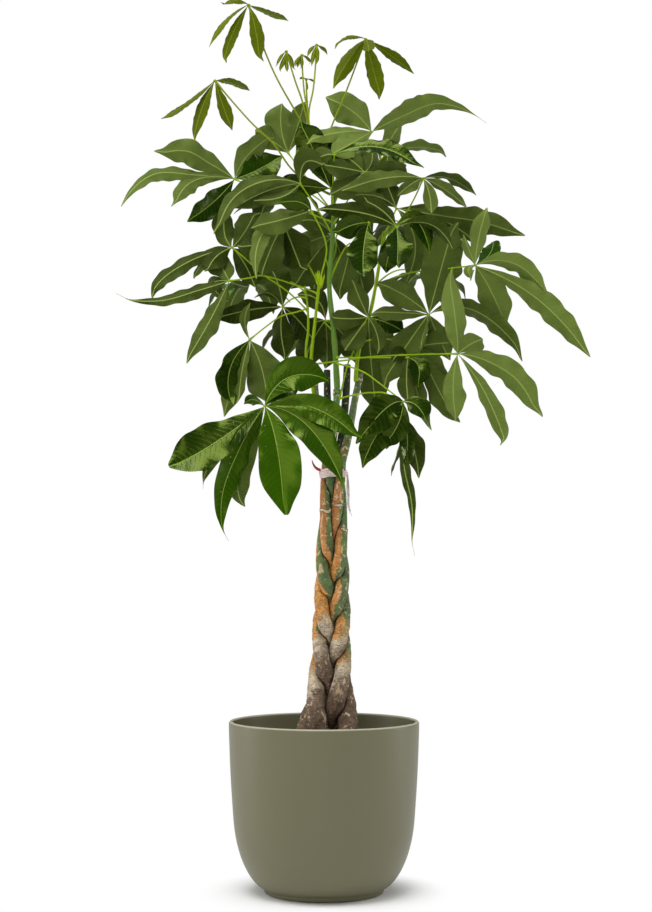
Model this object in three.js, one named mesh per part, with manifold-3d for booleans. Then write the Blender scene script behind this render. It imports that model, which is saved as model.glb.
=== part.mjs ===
// Potted money tree: five trunks braided round each other, tied at the top of the braid, with leafy
// shoots above, standing in the soil of a plain round pot.
// Millimetres, +Z up. The origin is the middle of the pot's underside. The front looks along -Y.
import * as THREE from "three";
import Module from "manifold-3d";

const wasm = await Module();
wasm.setup();

// Driving dimensions
const POT = { height: 222, rim: 125, lip: 5.2, floor: 9, sides: 32 };
const SOIL = { top: 188, wallGap: 0.5, roundedEdge: 4, holeRoom: 1.2, holeSides: 12 };
const SEAT = 0.3; // gap between pieces that touch
const TRUNKS = 5;
const TRUNK_SIDES = 7;
const BURIED = 58; // length of a trunk below the soil
const BRAID_TOP = 562;
const BRAID_STEP = 14;
const DEPTH_REACH = 1.05; // depth of the braid against its width
const SQUEEZE_GAP = 0.6; // room between two trunks that press on each other
const TIE = { low: 540, high: 553, thick: 1.5, sides: 24, corner: 1.22 };
const OLD_THICK = 1.5; // thickness of a grown blade at its rib, and of its stalk
const YOUNG_THICK = 1.1;
const SHOOT_SIDES = 6;
const STALK_SIDES = 3;
const STALK_TAPER = 0.85;
const KNOB = 2.1; // radius of the knob at a leaf's hub, against the thickness of its blades
const FOLD = 0.2; // rise of a blade's edges against its half width
const WAVE = 0.13; // height of the waves along the edges, against the half width
const WAVES = 1.4; // waves along a blade
const WAVE_OFFSET = 0.2; // part of a wave that one edge leads the rib by, and the other trails by
const GOLDEN = 0.618034; // spreads the start of the waves from blade to blade
const SWELL = 1.75; // a higher value widens a blade later along its rib
const TAPER = 1.02; // a higher value draws its tip out longer
const TAIL_TAPER = 1.8; // of a blade whose tip ends in a long thread

// The front view's eye, which the leaves' places are given from: X, Y, Z
const EYE = new THREE.Vector3(2.6, -2250, 430);

const BARK = 0x8a6b47;
const GREEN_BARK = 0x5a7648;
const OLD_LEAF = 0x3f6427;
const YOUNG_LEAF = 0x6f7f1c;

// Small helpers

const X_AXIS = new THREE.Vector3(1, 0, 0);
const Y_AXIS = new THREE.Vector3(0, 1, 0);
const Z_AXIS = new THREE.Vector3(0, 0, 1);

const sum = (a, b, scale = 1) => a.clone().addScaledVector(b, scale);

// The point at a depth behind the plane Y = 0 that the eye sees at (x, z) of that plane.
function seen(x, z, depth) {
  const stretch = (depth - EYE.y) / -EYE.y;
  return new THREE.Vector3(EYE.x + (x - EYE.x) * stretch, depth, EYE.z + (z - EYE.z) * stretch);
}

// A smooth curve through points that are evenly spaced in t, from 0 to 1.
function through(points, t) {
  const last = points.length - 1;
  const i = Math.min(Math.max(Math.floor(t * last), 0), last - 1);
  const u = t * last - i;
  const chord = (from, to) => sum(points[to], points[from], -1);
  const slope = (k) => {
    if (last === 1) return chord(0, 1);
    if (k === 0) return chord(0, 1).multiplyScalar(2).sub(slope(1));
    if (k === last) return chord(last - 1, last).multiplyScalar(2).sub(slope(last - 1));
    return chord(k - 1, k + 1).multiplyScalar(0.5);
  };
  const rise = u * u * (3 - 2 * u);
  return points[i].clone().multiplyScalar(1 - rise)
    .addScaledVector(points[i + 1], rise)
    .addScaledVector(slope(i), u * (1 - u) * (1 - u))
    .addScaledVector(slope(i + 1), -u * u * (1 - u));
}

// A smooth value from a table whose first column is the height.
function smooth(table, column, height) {
  const last = table.length - 1;
  const slope = (i) => {
    const from = table[Math.max(i - 1, 0)];
    const to = table[Math.min(i + 1, last)];
    return (to[column] - from[column]) / (to[0] - from[0]);
  };
  let i = 0;
  while (i < last - 1 && height > table[i + 1][0]) i += 1;
  const span = table[i + 1][0] - table[i][0];
  const u = (height - table[i][0]) / span;
  const rise = u * u * (3 - 2 * u);
  return (
    table[i][column] * (1 - rise) +
    table[i + 1][column] * rise +
    span * (u * (1 - u) * (1 - u) * slope(i) - u * u * (1 - u) * slope(i + 1))
  );
}

// A closed skin over rings of points. A ring of one point closes an end. Neighbouring strips of
// four-sided faces are split opposite ways, so that both faces of a thin blade are split alike.
function skin(rings) {
  const position = [];
  const starts = [];
  for (const ring of rings) {
    starts.push(position.length / 3);
    for (const point of ring) position.push(point.x, point.y, point.z);
  }
  const index = [];
  for (let i = 0; i + 1 < rings.length; i += 1) {
    const sides = Math.max(rings[i].length, rings[i + 1].length);
    for (let j = 0; j < sides; j += 1) {
      const next = (j + 1) % sides;
      const low = starts[i] + (rings[i].length > 1 ? j : 0);
      const lowNext = starts[i] + (rings[i].length > 1 ? next : 0);
      const high = starts[i + 1] + (rings[i + 1].length > 1 ? j : 0);
      const highNext = starts[i + 1] + (rings[i + 1].length > 1 ? next : 0);
      if (rings[i].length === 1) index.push(low, highNext, high);
      else if (rings[i + 1].length === 1) index.push(low, lowNext, high);
      else if (j % 2 === 0) index.push(low, highNext, high, low, lowNext, highNext);
      else index.push(low, lowNext, high, lowNext, highNext, high);
    }
  }
  const first = rings[0];
  for (let j = 1; j + 1 < first.length; j += 1) index.push(0, j + 1, j);
  const end = starts[rings.length - 1];
  const lastRing = rings[rings.length - 1];
  for (let j = 1; j + 1 < lastRing.length; j += 1) index.push(end, end + j, end + j + 1);
  const geometry = new THREE.BufferGeometry();
  geometry.setAttribute("position", new THREE.Float32BufferAttribute(position, 3));
  geometry.setIndex(index);
  return geometry;
}

function solidOf(geometry) {
  const mesh = new wasm.Mesh({
    numProp: 3,
    vertProperties: new Float32Array(geometry.getAttribute("position").array),
    triVerts: new Uint32Array(geometry.getIndex().array),
  });
  return new wasm.Manifold(mesh);
}

function geometryOf(solid) {
  const mesh = solid.getMesh();
  const geometry = new THREE.BufferGeometry();
  geometry.setAttribute("position", new THREE.Float32BufferAttribute(mesh.vertProperties, 3));
  geometry.setIndex(Array.from(mesh.triVerts));
  return geometry;
}

// Joins closed pieces that cross each other into one. Hollows that this seals are filled, and loose
// scraps are dropped, by keeping the largest body only.
function fuse(geometries) {
  const bodies = geometries.map(solidOf).reduce((all, piece) => all.add(piece)).decompose();
  return bodies.reduce((largest, body) => (body.volume() > largest.volume() ? body : largest));
}

function ring(centre, across, up, radiusAt, sides) {
  const points = [];
  for (let j = 0; j < sides; j += 1) {
    const angle = (2 * Math.PI * j) / sides;
    const way = across.clone().multiplyScalar(Math.cos(angle)).addScaledVector(up, Math.sin(angle));
    points.push(sum(centre, way, radiusAt(way)));
  }
  return points;
}

// A tapering stem through points evenly spaced in t.
function stem(points, thin, thick, sides, steps) {
  const rings = [];
  let across = null;
  for (let i = 0; i <= steps; i += 1) {
    const t = i / steps;
    const way = sum(through(points, t + 0.01), through(points, t - 0.01), -1).normalize();
    if (!across) across = new THREE.Vector3().crossVectors(way, new THREE.Vector3(0, 1, 0.1));
    across.addScaledVector(way, -across.dot(way)).normalize();
    const up = new THREE.Vector3().crossVectors(way, across);
    rings.push(ring(through(points, t), across, up, () => thick + (thin - thick) * t, sides));
  }
  return skin(rings);
}

// Pot: a rounded bowl with a flat foot, as a turned wall of even thickness

const POT_OUTER = [
  [78, 0], [81, 5.5], [91, 14.5], [101.5, 30], [110.5, 51], [117, 80],
  [120.5, 120], [123, 160], [POT.rim, 210], [POT.rim, 219], [POT.rim - 1.6, POT.height],
];
const POT_INNER = [
  [POT.rim - POT.lip, POT.height], [118.6, 218], [114.5, 120], [110.8, 80], [95, 30], [78, POT.floor],
];

function turned(profile, sides) {
  const rings = profile.map(([radius, height]) => {
    const centre = new THREE.Vector3(0, 0, height);
    if (radius === 0) return [centre];
    return ring(centre, X_AXIS, Y_AXIS, () => radius, sides);
  });
  return skin(rings);
}

function pot() {
  return turned([[0, 0], ...POT_OUTER, ...POT_INNER, [0, POT.floor]], POT.sides);
}

// Braid: every trunk swings from side to side and, twice as often, from front to back, a fifth of a
// turn after the one before it, so it passes over its neighbours inwards and under them outwards.
// Columns: height, turn in degrees, middle X, reach of the axes, radius of a trunk
const BRAID = [
  [188, 290, 5, 31, 14],
  [212, 262, 5.5, 28.4, 13.3],
  [232, 243, 6.5, 24.6, 12.8],
  [252, 227, 7.5, 20.8, 11.9],
  [280, 200, 8.5, 18.2, 10.8],
  [320, 151, 9.5, 16.2, 9.8],
  [352, 108, 10, 16, 9.4],
  [380, 72, 10.5, 15, 9],
  [425, 2, 11, 14, 8.5],
  [460, -36, 10.8, 12.6, 8.1],
  [500, -62, 12, 11.4, 7.3],
  [562, -112, 13, 10, 6.4],
];

// The stems above the tie: height, X, Y, radius. The first row is the trunk's own end.
const STEMS = [
  [[600, -7, -1, 5.2], [650, -11, 0, 4.6], [693, -15, 1, 4.3]],
  [[600, 13, -8, 5], [640, 16.5, -9.5, 4.4], [659, 17.5, -9.5, 5.2]],
  [[600, 24, 8, 5.3], [650, 29, 10, 5], [694, 31, 11, 4.8]],
  [[600, 33, -3, 5], [640, 40, -1, 4.6], [682, 48.5, 1, 4.3]],
  [[600, 7, 8, 5], [650, 4.5, 11, 4.7], [687, 4, 12, 4.4]],
];

function braidPlace(trunk, height) {
  const turn = THREE.MathUtils.degToRad(smooth(BRAID, 1, height)) + (2 * Math.PI * trunk) / TRUNKS;
  const reach = smooth(BRAID, 3, height);
  const x = smooth(BRAID, 2, height) + reach * Math.sin(turn);
  return [x, DEPTH_REACH * reach * Math.sin(2 * turn), smooth(BRAID, 4, height)];
}

// Axis and radius of a trunk at a height: upright in the soil, braided, then running up free.
function trunkAt(trunk, height) {
  let place = braidPlace(trunk, Math.min(Math.max(height, SOIL.top), BRAID_TOP));
  if (height > BRAID_TOP) {
    const rows = [[BRAID_TOP, ...place], ...STEMS[trunk]];
    place = [1, 2, 3].map((column) => smooth(rows, column, height));
  }
  return { centre: new THREE.Vector3(place[0], place[1], height), radius: place[2] };
}

const trunkTop = (trunk) => STEMS[trunk][STEMS[trunk].length - 1][0];

// Heights of a trunk's rings, from its buried end to its top.
function trunkHeights(trunk) {
  const heights = [SOIL.top - BURIED, SOIL.top];
  for (let height = SOIL.top + BRAID_STEP; height < BRAID_TOP; height += BRAID_STEP) {
    heights.push(height);
  }
  return [...heights, ...STEMS[trunk].map((row) => row[0])];
}

// The level cut through a round trunk that leans, flattened where a neighbour presses on it.
function trunkRing(number, height, grow) {
  const { centre, radius } = trunkAt(number, height);
  const upper = trunkAt(number, Math.min(height + 1, trunkTop(number))).centre;
  const lean = sum(upper, trunkAt(number, height - 1).centre, -1).setZ(0).multiplyScalar(0.5);
  if (height <= SOIL.top) lean.set(0, 0, 0);
  const stretch = lean.lengthSq() / (1 + lean.lengthSq());
  const leanWay = lean.clone().normalize();
  const others = [...STEMS.keys()].filter((other) => other !== number && height < trunkTop(other));
  const radiusAt = (way) => {
    let reach = radius / Math.sqrt(1 - stretch * way.dot(leanWay) ** 2);
    for (const other of others) {
      const apart = sum(centre, trunkAt(other, height).centre, -1);
      const facing = SQUEEZE_GAP - way.dot(apart);
      if (facing > 0) reach = Math.min(reach, (apart.lengthSq() - SQUEEZE_GAP ** 2) / (2 * facing));
    }
    return reach;
  };
  return ring(centre, X_AXIS, Y_AXIS, (way) => radiusAt(way) + grow, TRUNK_SIDES);
}

function trunkBody(number, grow) {
  return solidOf(skin(trunkHeights(number).map((height) => trunkRing(number, height, grow))));
}

// A trunk, cut back where it would press into one already placed.
function trunk(number) {
  let body = trunkBody(number, 0);
  for (let other = 0; other < number; other += 1) body = body.subtract(trunkBody(other, SEAT));
  return geometryOf(body);
}

// Soil: fills the pot, with a plain hole for each trunk

function soil() {
  const edge = 116.8; // radius of the soil just below its top
  const walls = POT_INNER.filter(([, height]) => height < SOIL.top).reverse();
  const profile = [
    [0, POT.floor + SEAT],
    ...walls.map(([radius, height]) => [radius - SOIL.wallGap, height + SEAT]),
    [edge, SOIL.top - 3],
    [edge - SOIL.roundedEdge, SOIL.top],
    [0, SOIL.top],
  ];
  let body = solidOf(turned(profile, POT.sides));
  for (let number = 0; number < TRUNKS; number += 1) {
    const { centre, radius } = trunkAt(number, SOIL.top);
    const hole = [SOIL.top - BURIED - SEAT, SOIL.top + 10].map((height) => {
      const middle = centre.clone().setZ(height);
      return ring(middle, X_AXIS, Y_AXIS, () => radius + SOIL.holeRoom, SOIL.holeSides);
    });
    body = body.subtract(solidOf(skin(hole)));
  }
  return geometryOf(body);
}

// Tie: a flat band wound round the tops of the trunks, with a frayed end hanging at the right

function tie() {
  const middle = smooth(BRAID, 2, TIE.low);
  const corners = smooth(BRAID, 3, TIE.low) * TIE.corner; // trunks stand out beyond the braid's reach
  const radius = smooth(BRAID, 4, TIE.low) + SEAT;
  const hoop = (grow, low, high) => {
    const wide = corners + radius + grow;
    const deep = corners * DEPTH_REACH + radius + grow;
    const turn = Math.PI / TIE.sides;
    const rings = [low, high].map((height) => {
      const points = [];
      for (let angle = turn; angle < 2 * Math.PI; angle += 2 * turn) {
        points.push(new THREE.Vector3(middle + wide * Math.cos(angle), deep * Math.sin(angle), height));
      }
      return points;
    });
    return solidOf(skin(rings));
  };
  const band = hoop(TIE.thick, TIE.low, TIE.high).subtract(hoop(0, TIE.low - 5, TIE.high + 5));
  const hanging = [seen(32, 548, -2), seen(34, 522, -6), seen(33, 508, -5), seen(36, 494, -4)];
  return geometryOf(band.add(solidOf(stem(hanging, 0.7, 1.3, 4, 5))));
}

// Leaves. A leaf is a stalk from a shoot to a hub with a fan of blades. Places are X and Z as the eye
// sees them on the plane Y = 0, with a depth behind it. A leaf is: root, points of the stalk, hub,
// blades. A blade is: depth of its tip, width, roll (0 shows the pale underside, 180 the upper side),
// then the X and Z of points along its rib, evenly spaced, the tip last.

const tailed = (row) => Object.assign(row, { taper: TAIL_TAPER });

const LEFT_STALKS = [
  {
    path: [[0.8, 568, -12], [-11, 632, -13], [-17, 693, -13], [-12, 750, -12], [-6, 806, -12]],
    thin: 2, thick: 2.4,
  },
];
const OUTER_STALKS = [
  {
    path: [[-19.3, 680, -3.5], [-24, 710, -5], [-21, 740, -5], [-22, 769, -5], [-26, 798, -4]],
    thin: 1.4, thick: 2,
  },
];

const LEFT_LEAVES = [
  // long level stalk to the right, in front of the stems
  [[-15, 693, -14], [[33, 699], [62, 703], [120, 706]], [178, 707, -58], [
    [-88, 35, 20, 219, 697, 260, 669, 284, 620],
    [-84, 23, 20, 209, 665, 231, 618, 242, 583],
    [-64, 31, 20, 176, 745, 165, 825],
    [-98, 30, 20, 195, 720, 212, 727],
    [-46, 30, 20, 172, 662, 177, 616],
  ]],
  // leaf with the long thin tail at the left
  [[-9, 788, -12], [[-36, 799], [-80, 812], [-100, 809]], [-127, 805, -22], [
    tailed([-48, 21, 30, -168, 792, -220, 778, -281, 783]),
    [-46, 27, 25, -152, 752, -186, 694],
    [4, 34, 15, -136, 822, -150, 845],
    [14, 21, 30, -148, 800, -129, 776],
    [6, 19, 50, -113, 800, -99, 797],
  ]],
  // front leaf with two blades arching to the left
  [[-6, 806, -12], [[2, 836], [3, 852], [-2, 870]], [-17, 900, -80], [
    [-104, 34, 20, -55, 888, -98, 878],
    [-104, 24, 25, -64, 886, -88, 856, -90, 806],
    [-100, 26, 160, -34, 912, -62, 910],
  ]],
  [[-7, 800, -12], [[-28, 840]], [-54, 884, -36], [
    [-30, 46, 15, -42, 852, -28, 816],
    [-20, 46, 15, -82, 858, -118, 852],
    [-46, 40, 20, -72, 846, -84, 812],
  ]],
];

const OUTER_LEAVES = [
  // broad leaf hanging left of the stems
  [[-22, 768, -5], [[-34, 764], [-56, 758], [-73, 747]], [-99, 726, -42], [
    [-52, 54, 15, -82, 684, -76, 640],
    [-62, 15, 40, -106, 752, -98, 776],
    [-66, 17, 40, -109, 684, -113, 640],
    [-50, 36, 160, -126, 684, -121, 636],
    [-12, 28, 15, -116, 676, -135, 622],
  ]],
  [[-22, 764, -5], [[-49, 791], [-83, 815], [-103, 833]], [-123, 850, -4], [
    [-40, 24, 30, -170, 836, -212, 811, -231, 784],
    [-16, 20, 55, -158, 832, -175, 804],
    [16, 32, 15, -134, 872, -130, 905],
    [-24, 34, 15, -144, 838, -156, 818],
    [26, 36, 20, -106, 872, -92, 900],
    [20, 34, 15, -106, 828, -92, 796],
  ]],
  // leaf behind, low at the left
  [[-24, 782, -4], [[-40, 782]], [-55, 770, 12], [
    [12, 30, 20, -98, 766, -150, 753],
    [4, 34, 20, -57, 735, -50, 700],
    [4, 14, 60, -75, 789, -92, 781],
    [34, 48, 15, -66, 812, -90, 846],
    [20, 30, 15, -34, 752, -12, 722],
  ]],
];

const CENTRE_STALKS = [
  {
    path: [[17.5, 660.5, -9], [13, 735, -8], [7, 800, -5], [12, 875, -2], [11, 952, 0]],
    thin: 2.6, thick: 4,
  },
];

const CENTRE_LEAVES = [
  // pale leaf at the top right
  [[12, 905, -1], [[24, 932], [35, 952], [45, 974]], [64, 1007, -12], [
    [2, 43, 10, 37, 1036, 1, 1054],
    [-44, 25, 40, 20, 1006, -26, 994],
    [-60, 36, 25, 38, 992, 8, 975],
    tailed([-14, 32, 30, 104, 1028, 158, 1046, 221, 1018]),
    [40, 28, 55, 104, 1032, 144, 1058],
  ]],
  [[12, 915, -1], [[50, 946]], [85, 978, 34], [
    [44, 24, 50, 127, 987, 167, 977],
    [58, 27, 20, 90, 998, 107, 1023],
    [18, 52, 10, 86, 958, 88, 938],
  ]],
  [[12, 890, -2], [[12, 930], [12, 955]], [14, 976, -76], [
    [-104, 27, 140, 74, 986, 131, 955],
    [-70, 30, 20, -2, 974, -16, 962],
  ]],
  [[12, 880, -2], [[34, 918]], [54, 952, -48], [
    [-46, 36, 20, 34, 970, 10, 982],
    [-78, 28, 30, 24, 958, -4, 962],
    [-62, 34, 20, 34, 936, 8, 922],
    [-30, 26, 30, 64, 968, 62, 992],
    [-16, 34, 20, 86, 952, 114, 944],
  ]],
  // big leaf reaching out at the upper left
  [[10, 885, -1], [[-40, 905], [-80, 924]], [-120, 943, 6], [
    [-14, 36, 15, -152, 963, -186, 981, -226, 974],
    [-28, 23, 40, -172, 948, -231, 948, -273, 903],
    [-26, 26, 30, -175, 940, -200, 903],
    [26, 32, 20, -102, 976, -68, 1003],
    [-34, 32, 165, -149, 911, -184, 886],
    [40, 42, 160, -88, 956, -58, 975],
  ]],
  // front leaf arching far to the left
  [[9, 872, -2], [[-8, 900]], [-32, 937, -66], [
    [-96, 25, 25, -80, 940, -122, 916, -143, 866],
    [-78, 34, 20, -25, 966, 0, 961],
    [-76, 20, 30, -58, 918, -95, 915],
    [-60, 28, 20, -78, 926, -126, 900],
  ]],
  // leaves behind the top of the shoot
  [[11, 915, -1], [], [9, 930, -26], [
    [-30, 44, 172, -12, 978, -34, 1022],
    [-14, 28, 165, 6, 968, 2, 1004],
    [-30, 34, 160, -32, 934, -66, 936],
  ]],
  [[10, 900, 1], [[-20, 940]], [-48, 978, 34], [
    [50, 42, 10, -58, 1014, -56, 1048],
    [38, 28, 20, -36, 1014, -26, 1052],
    [28, 32, 20, -74, 998, -93, 1010],
  ]],
  // leaves behind the stems
  [[8, 826, -4], [[16, 850]], [12, 866, 44], [
    [62, 52, 15, -16, 834, -42, 792],
    [56, 38, 20, -18, 858, -54, 836],
    [30, 32, 25, -12, 886, -38, 882],
    [66, 38, 20, 24, 832, 28, 788],
    [70, 34, 20, 4, 834, -4, 784],
  ]],
  [[8, 806, -4], [[26, 846]], [37, 855, 20], [
    [32, 42, 20, 30, 826, 18, 780],
    [44, 40, 15, 46, 822, 56, 780],
  ]],
  [[12, 752, -8], [], [2, 752, 26], [
    [30, 24, 15, -24, 744, -60, 722],
    [46, 42, 15, -16, 722, -28, 688],
    [52, 38, 20, 4, 722, 4, 686],
    [50, 40, 20, 30, 728, 46, 692],
    [44, 32, 25, -10, 780, -36, 786],
  ]],
  // light leaf beside the stems
  [[16, 702, -12], [[60, 702]], [112, 702, -30], [
    [-54, 25, 15, 110, 672, 113, 640],
    [-56, 30, 160, 126, 690, 124, 664],
    [-32, 25, 20, 101, 706, 91, 698],
  ]],
  // dark glossy leaf low at the right
  [[16, 694, -11], [[50, 684], [72, 669]], [105, 643, -88], [
    [-110, 40, 175, 80, 632, 43, 587],
    [-104, 34, 160, 73, 604, 50, 555],
    [-92, 32, 165, 98, 612, 77, 583],
    [-100, 30, 150, 123, 638, 137, 616],
  ]],
];

const LOW_LEAVES = [
  [[20.8, 647, -14.4], [[40, 652], [62, 655], [86, 652]], [107, 622, -66], [
    tailed([-78, 14, 25, 106, 562, 117, 500, 113, 437]),
    [-72, 22, 150, 111, 588, 106, 555],
    [-50, 13, 70, 98, 576, 86, 545],
    [-48, 27, 15, 118, 588, 127, 541],
    [-34, 16, 40, 98, 604, 91, 591],
  ]],
  [[20.8, 647, -14.4], [[31, 691], [38, 708], [53, 745]], [59, 756, -3], [
    [28, 44, 5, 63, 694, 70, 626],
    [-30, 22, 30, 71, 733, 73, 707],
    [-10, 26, 160, 86, 748, 106, 736],
    [-2, 28, 20, 48, 780, 38, 806],
    [-20, 30, 20, 34, 754, 6, 756],
    [-18, 34, 15, 42, 732, 27, 711],
  ]],
];

// the big glossy leaf in front, low at the left
const FRONT_LEAVES = [
  [[-17.9, 668, -1.7], [[-45, 668]], [-79, 637, -112], [
    [-134, 53, 175, -118, 610, -165, 581, -207, 557],
    tailed([-112, 23, 20, -132, 590, -153, 558, -162, 526]),
    tailed([-128, 36, 160, -110, 585, -135, 518, -130, 454]),
    [-112, 29, 20, -98, 585, -114, 536, -105, 502],
    [-142, 56, 175, -62, 580, -53, 490],
    [-134, 48, 170, -19, 608, 30, 522],
    [-130, 36, 165, -12, 634, 48, 590],
    [-104, 46, 165, -46, 676, 8, 672],
    [-90, 26, 160, -56, 656, -31, 664],
    [-104, 16, 150, -94, 646, -106, 640],
  ]],
];

const RIGHT_STALKS = [
  {
    path: [[42.2, 670, -6.4], [48, 720, 2], [62, 764, 9], [72, 816, 4], [80, 872, -4]],
    thin: 2, thick: 2.8,
  },
];

const RIGHT_LEAVES = [
  // leaf reaching furthest right
  [[69, 797, 6], [[110, 815], [160, 821]], [202, 826, -44], [
    [-64, 25, 20, 207, 864, 219, 905],
    [-14, 20, 50, 194, 846, 187, 866],
    [-48, 16, 30, 193, 820, 199, 808],
    [-64, 30, 28, 254, 829, 297, 787],
    [-86, 32, 18, 264, 796, 313, 755, 355, 700],
    [-22, 41, 15, 222, 794, 244, 743],
    [24, 26, 150, 222, 842, 226, 862],
  ]],
  // broad leaf in the middle right
  [[61, 759, 9], [[100, 758]], [140, 760, -24], [
    [-40, 54, 15, 156, 820, 175, 886],
    [-42, 31, 35, 204, 764, 271, 699],
    [-18, 37, 20, 106, 786, 70, 803],
    [-40, 26, 45, 100, 762, 62, 763],
    [-26, 46, 15, 110, 718, 76, 665],
    [-8, 32, 20, 152, 732, 168, 698],
    [-58, 16, 70, 135, 740, 128, 718],
  ]],
  [[49, 723, 0.5], [[80, 727], [107, 722]], [125, 717, -16], [
    [-14, 36, 20, 150, 721, 176, 722],
    [-28, 34, 15, 150, 664, 178, 612],
    [-4, 30, 20, 146, 690, 158, 658],
    [-34, 22, 25, 123, 662, 144, 603],
  ]],
  // wavy leaf at the upper right
  [[78, 862, -3], [[100, 885], [117, 909]], [133, 944, -28], [
    [-28, 24, 55, 169, 944, 204, 920],
    [-44, 22, 45, 161, 930, 193, 904],
    [-38, 20, 15, 142, 920, 143, 895],
    [-66, 26, 20, 82, 944, 24, 926],
    [-34, 20, 25, 117, 936, 98, 920],
  ]],
  [[77, 845, -1], [[86, 876]], [97, 903, 14], [
    [14, 34, 15, 160, 893, 214, 884, 270, 864],
    [24, 32, 20, 154, 890, 205, 856],
    [26, 36, 20, 122, 858, 109, 803],
    [32, 30, 20, 68, 920, 30, 918],
    [30, 34, 20, 88, 926, 80, 948],
  ]],
  [[74, 830, 1], [[80, 850], [86, 866]], [97, 878, -64], [
    [-80, 26, 25, 54, 896, -12, 903],
    [-98, 35, 165, 99, 852, 97, 822],
    [-90, 26, 45, 142, 882, 173, 848],
    [-72, 28, 160, 124, 886, 142, 841],
    [-58, 24, 20, 78, 900, 52, 914],
    [-50, 30, 160, 88, 846, 81, 816],
  ]],
  [[74, 822, 2], [[66, 856]], [60, 884, -98], [
    [-120, 39, 175, 53, 848, 53, 807],
    [-112, 30, 165, 36, 880, 14, 868],
  ]],
];

const YOUNG_STALKS = [
  {
    path: [[11, 952.7, 0], [6, 971, 1], [-5, 985, 3], [-15, 999, 5], [-21, 1016, 5]],
    thin: 1.3, thick: 2.2,
  },
];

const YOUNG_LEAVES = [
  [[-14, 996, 4], [[-39, 1036], [-71, 1096]], [-102, 1181, -30], [
    [-88, 14, 60, -119, 1187, -138, 1178],
    [-44, 13, 60, -132, 1160, -156, 1122],
    [-36, 16, 25, -123, 1142, -136, 1100],
    [-30, 19, 15, -92, 1145, -87, 1102],
    [26, 15, 55, -77, 1170, -47, 1159],
  ]],
  [[-1, 981, 2], [[4, 998], [15, 1027], [30, 1063]], [56, 1134, -22], [
    [-70, 14, 70, 34, 1137, 12, 1123],
    [-38, 21, 20, 35, 1108, 11, 1066],
    [-34, 23, 15, 66, 1094, 77, 1052],
    [10, 17, 40, 91, 1111, 121, 1086],
    [-86, 18, 10, 59, 1127, 61, 1116],
  ]],
  [[-20, 1012, 5], [[-30, 1051], [-39, 1077]], [-51, 1117, -2], [
    [-12, 5, 30, -59, 1109, -64, 1097],
    [-8, 6, 20, -55, 1104, -61, 1089],
    [-6, 6, 20, -51, 1102, -49, 1088],
    [2, 6, 30, -45, 1106, -41, 1091],
  ]],
  [[-20, 1012, 5], [[-22, 1036], [-27, 1064]], [-30, 1112, 6], [
    [-4, 5, 30, -36, 1106, -40, 1096],
    [-2, 5, 20, -34, 1104, -36, 1094],
    [2, 5, 20, -30, 1104, -30, 1092],
    [10, 5, 30, -23, 1108, -17, 1101],
  ]],
  [[-20, 1012, 5], [[-20, 1038], [-14, 1070]], [-10, 1126, 12], [
    [8, 6, 30, -18, 1120, -22, 1110],
    [6, 6, 20, -14, 1114, -17, 1096],
    [10, 6, 20, -9, 1114, -10, 1099],
    [22, 6, 40, -2, 1121, 5, 1113],
  ]],
  [[-20, 1012, 5], [[-23, 1050]], [-24, 1079, 16], [
    [10, 3, 20, -29, 1081, -34, 1079],
    [12, 3, 20, -23, 1071, -22, 1063],
    [22, 3, 20, -17, 1078, -11, 1073],
  ]],
];

const YOUNG_SIDE_LEAVES = [
  [[8.5, 922, -1.5], [[-39, 952], [-68, 991], [-100, 1022]], [-147, 1077, -42], [
    [-70, 15, 60, -184, 1047, -220, 1023],
    [-56, 18, 30, -164, 1040, -176, 994],
    [-38, 18, 20, -136, 1043, -123, 1009],
    [12, 16, 50, -124, 1074, -99, 1062],
  ]],
];

// Leaves on the far side, which the front view hides: root, hub, length of the longest blade
const BACK_OUTER = [
  [[-25, 790, -4], [-95, 800, 120], 96],
];
const BACK_CENTRE = [
  [[13, 735, -8], [-28, 742, 102], 90],
  [[8, 812, -4], [-6, 838, 130], 100],
  [[8, 838, -3], [40, 900, 165], 100],
  [[12, 896, -1], [-55, 925, 120], 98],
  [[12, 930, 0], [45, 985, 95], 84],
];
const BACK_RIGHT = [
  [[55, 742, 8], [70, 742, 125], 96],
  [[70, 800, 5], [130, 812, 110], 96],
  [[78, 862, -3], [105, 880, 120], 94],
];
const BACK = {
  blades: 5,
  spread: 112, // degrees that the outer blades turn back from the stalk's way
  arch: 14, // rise of the stalk above a straight line
  shortening: 0.35, // loss of length of the outer blades
  wide: 0.38, // width of a blade against its length
  middle: { out: 0.47, down: 0.02 }, // places along a blade's rib against its length
  tip: { out: 0.82, down: 0.42 },
};

// Places of a blade's cuts along its rib, fewer on a short one
const LONG_CUTS = [0.15, 0.42, 0.66, 0.86];
const SHORT_CUTS = [0.2, 0.55, 0.82];
const TINY_CUTS = [0.5];
const SHORT_BLADE = 120;
const TINY_BLADE = 32;
const ROOT_DEPTH = 0.3; // length of a blade's root behind the middle of its hub

// Half the width of a blade along its rib, as a share of its greatest: a narrow start, the widest
// place near the middle and a tapering tip.
const outline = (t, taper) => t ** SWELL * (1 - t) ** taper;
const fullness = (t, taper) => outline(t, taper) / outline(SWELL / (SWELL + taper), taper);

let bladeCount = 0;

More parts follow.
